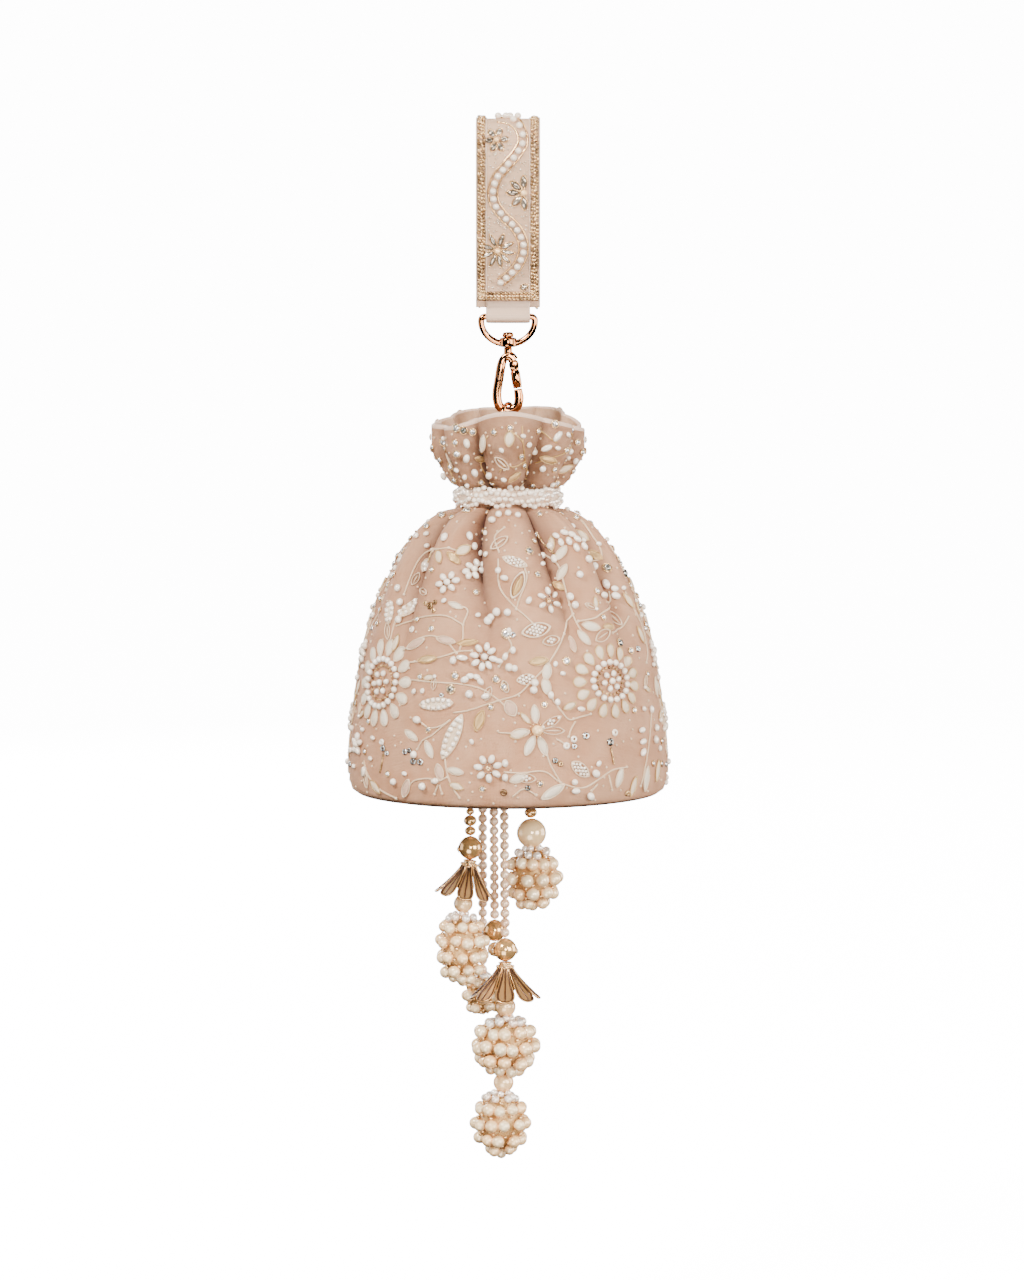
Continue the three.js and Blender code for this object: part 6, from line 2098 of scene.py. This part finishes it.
# Leaves: across, drop, length, width, turn, kind
LEAVES = (
    (-48.3, 304.2, 9.0, 3.6, 118, Leaf.WHITE),
    (-39.2, 310.9, 9.0, 3.8, 152, Leaf.WHITE),
    (-50.5, 330.6, 9.6, 4.2, 24, Leaf.ROSE),
    (-34.0, 322.4, 8.0, 4.2, -16, Leaf.ROSE),
    (-26.2, 322.0, 8.4, 3.6, 100, Leaf.WHITE),
    (-25.6, 329.5, 7.4, 3.4, 106, Leaf.CREAM),
    (-66.0, 330.0, 9.6, 4.2, 125, Leaf.CREAM),
    (-71.0, 326.0, 9.0, 4.0, -20, Leaf.OPEN),
    (-14.0, 297.0, 10.5, 4.8, 18, Leaf.GOLD),
    (-9.8, 283.4, 7.0, 3.6, 20, Leaf.OPEN),
    (1.2, 290.6, 8.0, 5.6, 150, Leaf.ROSE),
    (-1.4, 280.0, 6.0, 3.2, 160, Leaf.OPEN),
    (4.6, 303.6, 7.6, 4.4, 78, Leaf.CREAM),
    (4.6, 325.6, 8.0, 4.2, 70, Leaf.WHITE),
    (9.4, 325.4, 9.0, 4.2, 96, Leaf.BEADED),
    (22.4, 332.4, 12.6, 4.6, 60, Leaf.WHITE),
    (35.8, 321.0, 11.0, 5.8, 128, Leaf.BEADED),
    (55.4, 325.4, 9.8, 4.2, 24, Leaf.WHITE),
    (62.5, 329.6, 10.0, 4.0, 20, Leaf.CREAM),
    (69.0, 326.0, 12.0, 4.6, 14, Leaf.WHITE),
    (74.4, 322.0, 11.0, 4.4, 24, Leaf.CREAM),
    (73.6, 280.0, 9.4, 4.6, 6, Leaf.WHITE),
    (-40.0, 266.0, 11.0, 3.8, 80, Leaf.GOLD),
    (-46.0, 258.6, 12.0, 4.0, 64, Leaf.ROSE),
    (-31.0, 256.5, 10.0, 3.6, 100, Leaf.ROSE),
    (-20.0, 258.0, 10.0, 3.2, 84, Leaf.GOLD),
    (-26.4, 239.4, 7.6, 3.0, 112, Leaf.WHITE),
    (-34.3, 215.2, 8.4, 4.0, 140, Leaf.CREAM),
    (-27.0, 215.6, 8.8, 4.0, 135, Leaf.GOLD),
    (-22.6, 211.8, 8.6, 4.8, 62, Leaf.CREAM),
    (-41.4, 219.0, 7.0, 3.2, 20, Leaf.WHITE),
    (-46.0, 226.0, 7.0, 3.2, 24, Leaf.OPEN),
    (-42.0, 232.4, 8.0, 3.2, 102, Leaf.OPEN),
    (-56.0, 258.0, 8.4, 3.6, 10, Leaf.CREAM),
    (-60.0, 252.0, 8.4, 3.6, -24, Leaf.OPEN),
    (-4.2, 208.0, 9.6, 4.8, 48, Leaf.OPEN),
    (3.6, 217.6, 12.0, 4.6, 112, Leaf.BEADED),
    (4.6, 229.0, 14.0, 5.4, 22, Leaf.OPEN),
    (4.9, 229.6, 10.0, 3.2, 22, Leaf.GOLD),
    (21.6, 209.0, 8.0, 3.6, -10, Leaf.CREAM),
    (26.4, 213.0, 8.4, 4.2, 30, Leaf.WHITE),
    (27.4, 222.6, 8.6, 4.0, 24, Leaf.WHITE),
    (25.4, 229.4, 7.2, 3.4, 115, Leaf.GOLD),
    (14.2, 251.4, 14.0, 6.6, 78, Leaf.BEADED),
    (21.4, 256.8, 9.0, 4.6, 80, Leaf.BEADED),
    (15.4, 267.0, 9.2, 4.2, 84, Leaf.GOLD),
    (19.4, 272.4, 8.2, 4.4, 12, Leaf.WHITE),
    (19.2, 279.6, 8.2, 4.6, -12, Leaf.WHITE),
    (9.0, 276.0, 9.0, 5.0, 84, Leaf.BEADED),
    (31.0, 289.6, 7.2, 3.4, 70, Leaf.CREAM),
    (41.3, 249.6, 9.6, 4.4, 102, Leaf.WHITE),
    (47.0, 254.6, 11.0, 5.0, 68, Leaf.OPEN),
    (37.8, 255.4, 8.8, 4.0, 142, Leaf.WHITE),
    (53.0, 245.8, 9.6, 4.0, 138, Leaf.OPEN),
    (50.0, 250.0, 8.4, 3.4, 96, Leaf.GOLD),
    (32.2, 258.6, 8.0, 3.0, 160, Leaf.ROSE),
    (60.0, 236.6, 9.0, 3.8, 150, Leaf.CREAM),
    (66.0, 254.0, 9.0, 3.8, 156, Leaf.CREAM),
    (43.8, 214.2, 8.0, 4.0, 120, Leaf.GOLD),
    (37.0, 204.0, 8.0, 3.6, 130, Leaf.CREAM),
    (-12.2, 158.0, 8.6, 4.2, 30, Leaf.WHITE),
    (0.5, 156.0, 7.4, 4.6, 4, Leaf.CREAM),
    (-3.0, 168.0, 8.6, 4.0, 140, Leaf.OPEN),
    (3.2, 175.0, 7.6, 3.4, 40, Leaf.GOLD),
    (20.4, 166.4, 8.6, 4.0, 100, Leaf.GOLD),
    (-29.0, 166.0, 8.0, 3.6, 150, Leaf.OPEN),
    (28.6, 171.0, 7.8, 3.6, 60, Leaf.CREAM),
    (-14.0, 166.0, 7.0, 3.0, 110, Leaf.GOLD),
)
# Single beads: across, drop, width, length, turn
BEADS = (
    (-22.8, 265.7, 2.9, 6.0, 96), (-27.0, 266.6, 3.6, 4.4, 10), (-4.4, 267.0, 2.8, 4.6, 100),
    (-1.0, 265.0, 3.0, 4.4, 20), (-21.4, 276.6, 3.4, 4.6, 60), (-18.8, 274.8, 3.2, 4.4, 84),
    (-15.8, 275.2, 3.2, 4.4, 108), (-13.6, 277.6, 3.2, 4.4, 140), (-19.0, 283.8, 4.0, 4.4, 0),
    (-11.2, 284.6, 3.2, 4.6, 70), (0.8, 270.4, 4.2, 4.4, 0), (3.4, 270.6, 3.6, 3.8, 0),
    (-44.8, 296.5, 4.0, 4.6, 100), (-46.3, 313.5, 3.6, 4.0, 0), (-56.6, 327.2, 3.6, 3.8, 0),
    (-42.3, 329.4, 4.0, 4.2, 0), (-36.2, 326.8, 3.4, 4.4, 80), (-71.0, 322.4, 2.8, 5.6, 8),
    (-53.7, 238.0, 3.6, 4.0, 0), (-54.3, 246.8, 3.8, 4.2, 0), (-54.4, 231.0, 3.4, 4.0, 10),
    (-40.8, 219.6, 3.4, 5.4, 130), (-31.4, 205.6, 3.4, 5.2, 10), (-19.6, 205.0, 3.4, 5.0, 0),
    (-17.0, 210.0, 3.2, 4.4, 20), (-4.3, 194.4, 3.4, 3.6, 0), (0.2, 193.8, 3.4, 3.6, 0),
    (-7.6, 197.4, 3.6, 4.6, 90), (4.4, 194.8, 3.2, 3.4, 0), (-1.8, 225.6, 3.2, 4.4, 100),
    (-4.3, 222.0, 3.2, 3.6, 0), (-5.0, 242.9, 4.2, 4.6, 0), (-10.6, 247.4, 4.4, 4.8, 40),
    (-7.8, 245.2, 3.8, 4.2, 60), (0.2, 242.9, 3.8, 4.0, 0), (0.6, 252.0, 3.0, 3.4, 0), (2.4, 261.8, 3.0, 4.0, 0),
    (10.2, 236.8, 3.0, 4.4, 30), (21.6, 209.8, 3.6, 3.8, 0), (18.0, 214.2, 3.2, 3.6, 0),
    (23.4, 216.2, 3.2, 4.6, 160), (33.7, 239.2, 3.8, 4.2, 0), (31.2, 235.0, 3.8, 4.4, 150),
    (39.3, 216.6, 4.0, 4.2, 0), (43.5, 220.0, 4.0, 4.2, 0), (48.8, 228.8, 4.0, 5.6, 160),
    (47.0, 234.4, 3.6, 5.0, 100), (53.4, 235.2, 3.8, 5.2, 110), (52.6, 231.2, 3.4, 4.2, 100),
    (24.0, 205.0, 2.8, 4.2, 120), (28.0, 203.4, 3.2, 4.8, 110), (31.6, 204.4, 3.2, 4.8, 120),
    (34.0, 206.8, 3.2, 4.8, 130), (30.0, 207.6, 3.2, 5.0, 170), (33.6, 210.6, 3.2, 5.0, 170),
    (37.4, 210.0, 3.2, 4.8, 170), (26.4, 208.0, 3.0, 4.6, 160), (35.5, 224.4, 3.8, 4.0, 0),
    (13.3, 277.8, 4.0, 4.2, 0), (12.4, 281.6, 4.0, 4.2, 0), (43.2, 323.4, 4.0, 4.6, 150),
    (44.8, 318.4, 2.6, 3.6, 40), (32.6, 327.4, 3.4, 3.4, 0), (33.4, 331.8, 3.4, 4.8, 90),
    (41.0, 334.6, 3.8, 5.0, 150), (66.2, 301.7, 3.2, 4.8, 80), (66.6, 307.4, 3.2, 5.0, 75),
    (66.8, 312.4, 3.2, 5.0, 40), (71.0, 291.2, 2.8, 4.2, 0), (73.4, 300.2, 3.0, 3.8, 0), (73.0, 306.4, 3.2, 4.4, 0),
    (24.4, 287.6, 3.0, 3.8, 0), (20.8, 284.2, 3.2, 4.2, 0), (36.2, 291.0, 2.8, 4.2, 100),
    (-1.2, 318.2, 3.4, 4.2, 0), (-1.2, 325.4, 3.4, 4.2, 0), (-20.5, 158.0, 3.4, 5.2, 0),
    (-21.0, 165.4, 3.4, 5.0, 20), (-17.0, 172.4, 3.4, 4.8, 160), (-8.6, 174.0, 3.4, 4.8, 60),
    (24.5, 154.4, 3.0, 6.4, 30), (19.6, 160.4, 3.0, 6.2, 60), (14.0, 162.0, 3.6, 3.8, 0),
    (30.0, 162.0, 3.4, 3.6, 0), (17.4, 170.6, 3.4, 3.6, 0), (-33.4, 175.6, 3.2, 4.2, 0), (10.0, 158.6, 2.8, 3.2, 0),
    (33.4, 166.4, 3.0, 3.8, 0),
)
# Stones: across, drop, size, finish
STONES = (
    (-26.3, 274.4, 3.4, CRYSTAL), (-28.4, 281.2, 4.0, SMOKE_CRYSTAL), (-20.4, 192.4, 4.2, SMOKE_CRYSTAL),
    (-33.0, 194.4, 3.4, CRYSTAL), (-51.2, 223.8, 4.8, SMOKE_CRYSTAL), (-40.6, 199.8, 3.2, CRYSTAL),
    (-52.0, 212.2, 3.2, CRYSTAL), (-62.2, 228.0, 3.2, CRYSTAL), (-70.2, 244.0, 3.0, CRYSTAL),
    (-0.4, 253.4, 4.4, CRYSTAL), (-5.6, 276.2, 3.4, CRYSTAL), (-2.0, 279.8, 3.2, CRYSTAL),
    (28.8, 266.9, 3.6, CRYSTAL), (55.6, 257.7, 4.2, SMOKE_CRYSTAL), (49.6, 220.6, 4.2, SMOKE_CRYSTAL),
    (57.2, 214.8, 3.8, CRYSTAL), (64.2, 227.6, 3.0, CRYSTAL), (71.8, 247.4, 3.0, CRYSTAL),
    (10.4, 212.0, 3.6, SMOKE_CRYSTAL), (14.6, 204.0, 3.2, CRYSTAL), (-25.6, 150.4, 3.6, CRYSTAL),
    (-22.0, 151.6, 3.4, SMOKE_CRYSTAL), (-18.0, 152.4, 3.2, CRYSTAL), (-32.0, 157.4, 4.0, CRYSTAL),
    (-28.6, 159.8, 3.4, SMOKE_CRYSTAL), (-25.4, 163.4, 3.4, CRYSTAL), (-23.0, 175.2, 3.4, CRYSTAL),
    (31.0, 151.6, 4.0, CRYSTAL), (24.0, 146.6, 3.4, CRYSTAL), (27.6, 166.2, 3.0, SMOKE_CRYSTAL),
    (-7.0, 152.6, 2.8, CRYSTAL), (44.4, 232.0, 3.0, CRYSTAL), (-38.0, 251.0, 2.8, CRYSTAL),
    (61.0, 262.0, 3.0, CRYSTAL),
)
# Sequins: across, drop, size, finish
SEQUINS = (
    (-51.4, 312.4, 3.2, SEQUIN), (-49.0, 311.8, 2.8, SEQUIN), (-47.2, 317.0, 3.8, SEQUIN),
    (-43.8, 317.4, 3.8, SEQUIN), (-62.2, 310.8, 3.6, SEQUIN), (-60.4, 313.2, 2.8, SEQUIN),
    (-63.0, 307.6, 3.2, WHITE_BEAD), (-47.7, 251.5, 3.6, WHITE_BEAD), (29.2, 309.4, 3.8, WHITE_BEAD),
    (32.8, 306.2, 3.6, WHITE_BEAD), (33.2, 309.8, 3.2, SEQUIN), (39.0, 304.2, 4.0, SEQUIN),
    (53.4, 302.8, 3.8, WHITE_BEAD), (50.8, 307.6, 4.2, SEQUIN), (64.6, 261.0, 3.4, SEQUIN),
    (-38.7, 239.3, 4.0, DARK_GOLD), (-36.4, 237.4, 2.6, DARK_GOLD), (-41.0, 238.0, 2.6, DARK_GOLD),
    (-37.0, 241.6, 2.8, DARK_GOLD), (23.6, 316.6, 3.2, SEQUIN), (26.0, 318.4, 3.0, DARK_GOLD),
    (-2.4, 332.6, 3.6, DARK_GOLD), (2.4, 254.0, 3.2, CRYSTAL), (10.0, 330.6, 3.0, SEQUIN),
    (59.6, 333.0, 3.2, DARK_GOLD), (-33.0, 284.0, 2.6, SEQUIN),
)
# Fine chains of gold seeds: points of (across, drop)
CHAINS = (
    ((-62.0, 314.0), (-62.6, 318.0), (-63.6, 322.4)),
    ((51.2, 310.6), (51.8, 314.0), (52.8, 318.6)),
    ((15.0, 203.0), (17.4, 207.0), (21.0, 211.6), (25.0, 214.6)),
)
# Vines: points of (across, drop)
VINES = (
    ((-48.3, 276.5), (-35.5, 277.8), (-23.5, 278.4), (-13.2, 281.0), (-5.0, 286.4), (-1.0, 290.0)),
    ((-28.5, 296.3), (-33.5, 299.5), (-39.5, 300.5), (-43.6, 297.4)),
    ((-28.5, 296.3), (-33.0, 300.4), (-38.0, 304.0), (-42.5, 307.0), (-45.0, 311.0)),
    ((-31.7, 316.0), (-30.5, 323.0), (-28.0, 330.0), (-24.0, 335.4)),
    ((-27.4, 293.0), (-20.0, 291.6), (-12.0, 289.4), (-4.3, 286.6), (5.3, 283.4), (12.0, 277.0), (18.3, 270.0),
     (24.0, 261.6), (28.0, 253.4)),
    ((-51.0, 268.0), (-40.0, 266.4), (-30.0, 264.0), (-24.7, 262.4), (-18.0, 262.0)),
    ((-52.0, 262.0), (-44.0, 256.0), (-37.0, 254.6), (-30.4, 257.4), (-25.6, 263.0)),
    ((-24.0, 262.0), (-22.6, 255.0), (-22.2, 248.4), (-20.4, 241.6), (-27.0, 239.0)),
    ((-56.0, 249.6), (-48.0, 247.0), (-38.0, 244.4), (-30.0, 244.6), (-22.6, 249.0)),
    ((-29.8, 210.4), (-35.0, 211.2), (-39.5, 212.2), (-43.4, 215.4), (-48.6, 225.0), (-52.0, 234.0)),
    ((-56.2, 247.0), (-58.0, 254.0), (-59.4, 261.0)),
    ((-19.4, 211.6), (-25.6, 211.6), (-29.8, 210.4)),
    ((-4.6, 216.0), (-4.0, 229.4), (2.0, 239.0), (9.0, 245.0), (14.6, 250.0)),
    ((7.4, 219.0), (9.4, 224.4), (5.4, 236.0), (4.0, 241.0)),
    ((-2.6, 252.4), (1.6, 259.0), (-1.0, 265.0), (-4.4, 270.0)),
    ((20.9, 284.0), (23.4, 287.4), (26.5, 291.9), (30.5, 296.4), (35.5, 295.2), (41.3, 293.6)),
    ((33.4, 297.0), (31.4, 301.4), (30.4, 305.0)),
    ((24.0, 306.0), (27.4, 307.6), (29.4, 309.4)),
    ((71.4, 291.0), (71.0, 298.0), (70.4, 306.0), (69.0, 317.0), (65.9, 329.4)),
    ((-2.1, 322.4), (6.2, 323.0), (18.3, 322.4), (26.6, 327.6), (37.5, 330.2), (45.8, 325.6), (51.5, 321.8),
     (59.2, 320.0)),
    ((18.6, 308.4), (20.2, 316.0), (22.6, 322.0), (26.6, 327.6)),
    ((50.2, 232.4), (50.4, 237.6), (47.0, 242.9), (43.2, 245.6), (34.9, 247.0)),
    ((29.8, 235.4), (32.4, 244.2), (36.0, 250.6), (39.4, 256.4)),
    ((28.0, 253.4), (29.4, 247.6), (32.6, 243.6)),
    ((17.4, 213.0), (24.4, 218.6), (27.0, 225.4), (29.4, 233.4), (31.0, 238.6)),
    ((36.0, 196.4), (42.0, 204.0), (45.6, 210.0), (46.0, 216.0), (41.4, 217.0), (42.0, 213.0)),
    ((57.0, 205.0), (56.6, 210.8), (62.8, 219.0)),
    ((58.0, 232.0), (62.0, 240.0), (66.8, 250.0), (69.4, 262.0), (69.0, 268.0)),
    ((60.0, 244.6), (56.0, 250.4), (52.0, 253.0)),
    ((-66.8, 240.0), (-69.0, 250.0), (-72.0, 262.0)),
    ((-50.6, 333.4), (-47.6, 327.4), (-40.0, 325.6), (-34.6, 327.0), (-30.6, 325.0)),
    ((-35.0, 328.6), (-36.6, 333.4)), ((-34.0, 328.6), (-32.6, 333.4)),
    ((-72.0, 317.0), (-70.0, 324.0), (-64.0, 331.0), (-56.0, 335.6)),
    ((-4.2, 213.0), (-6.4, 205.0), (-2.0, 200.4)),
    ((2.0, 334.8), (8.0, 331.0), (14.0, 334.0)),
    ((44.8, 328.6), (41.6, 332.0)), ((50.0, 324.0), (52.0, 331.4)),
    ((-4.6, 303.0), (3.0, 303.4)),
)
COLLAR_VINES = (
    ((7.0, 149.5), (7.6, 158.0), (8.4, 167.0), (9.2, 176.0)),
    ((7.6, 158.0), (4.0, 154.0), (1.0, 152.0)),
    ((8.4, 167.0), (3.0, 170.0), (-1.4, 169.0), (-4.0, 172.6)),
    ((13.5, 168.0), (20.0, 165.6), (28.0, 163.0)),
    ((28.0, 163.0), (31.0, 157.0), (31.4, 153.0)),
    ((-10.0, 154.4), (-13.0, 160.0), (-13.6, 168.0), (-11.0, 174.6)),
    ((-31.0, 160.6), (-30.0, 168.0), (-27.0, 176.0)),
    ((16.0, 150.0), (20.4, 155.0), (24.4, 158.0)),
)
# The side sprays: millimetres towards the front and share of height
SIDE_VINES = (
    ((2.0, -0.22), (-3.0, -0.34), (2.0, -0.48), (-2.0, -0.62), (3.0, -0.78), (-1.0, -0.94)),
    ((2.0, -0.48), (8.0, -0.44), (11.0, -0.38)),
    ((-2.0, -0.62), (-9.0, -0.58), (-12.0, -0.52)),
    ((3.0, -0.78), (9.0, -0.74), (12.0, -0.68)),
)
# Side leaves: towards the front, height, length, width, turn, kind
SIDE_LEAVES = (
    (5.5, -0.30, 8.6, 3.8, 40, Leaf.WHITE), (-7.0, -0.30, 8.6, 3.8, -40, Leaf.CREAM),
    (-4.4, -0.42, 8.6, 3.8, -50, Leaf.OPEN), (11.0, -0.35, 8.0, 3.6, 30, Leaf.WHITE),
    (4.4, -0.56, 8.6, 3.8, 60, Leaf.WHITE), (-12.0, -0.49, 8.0, 3.6, -20, Leaf.CREAM),
    (-7.4, -0.66, 9.0, 4.0, -60, Leaf.OPEN), (6.6, -0.68, 9.0, 4.0, 30, Leaf.CREAM),
    (13.0, -0.64, 8.0, 3.6, 30, Leaf.WHITE), (-4.0, -0.82, 9.0, 4.0, -40, Leaf.WHITE),
    (7.0, -0.86, 9.0, 4.0, 50, Leaf.BEADED), (-8.0, -0.92, 8.0, 3.6, -60, Leaf.ROSE),
)
# Side daisies: towards the front, height, reach, beads
SIDE_DAISIES = ((0.0, -0.2, 4.2, 7), (-8.0, -0.76, 4.6, 8), (11.0, -0.52, 4.2, 7))
SIDE_BEADS = (
    (4.0, -0.13), (-6.0, -0.14), (0.0, -0.27), (6.0, -0.4), (-9.0, -0.38), (0.0, -0.52),
    (7.0, -0.61), (-3.0, -0.71), (12.0, -0.78), (2.0, -0.9), (-12.0, -0.86),
)
SIDE_STONES = (
    (-2.0, -0.09), (7.0, -0.21), (-10.0, -0.23), (-1.0, -0.37), (14.0, -0.44), (-14.0, -0.62), (13.0, -0.9),
)
# What fills the bare cloth: shape, tries, clearance, lowest and highest share of height
FILLING = (
    ("sprig", 500, 8.2, -0.95, -0.12),
    ("stone", 500, 5.4, -0.97, 0.9),
    ("bead", 700, 5.0, -0.97, 0.9),
    ("knot", 1500, 3.6, -0.98, 0.92),
)


def main() -> None:
    """Builds the studio and each part of the bag in order."""
    logging.basicConfig(level=logging.INFO, format="%(name)s: %(message)s")
    studio = Studio()
    studio.build()
    cloth = PouchCloth()
    skin = cloth.build()
    WristStrap().build()
    SwivelHook().build()
    NeckRope().build(cloth)
    BasePanel().build()
    for strand in STRANDS:
        strand.build()
    sewn = Embroidery(cloth, studio).build()


if __name__ == "__main__":
    main()
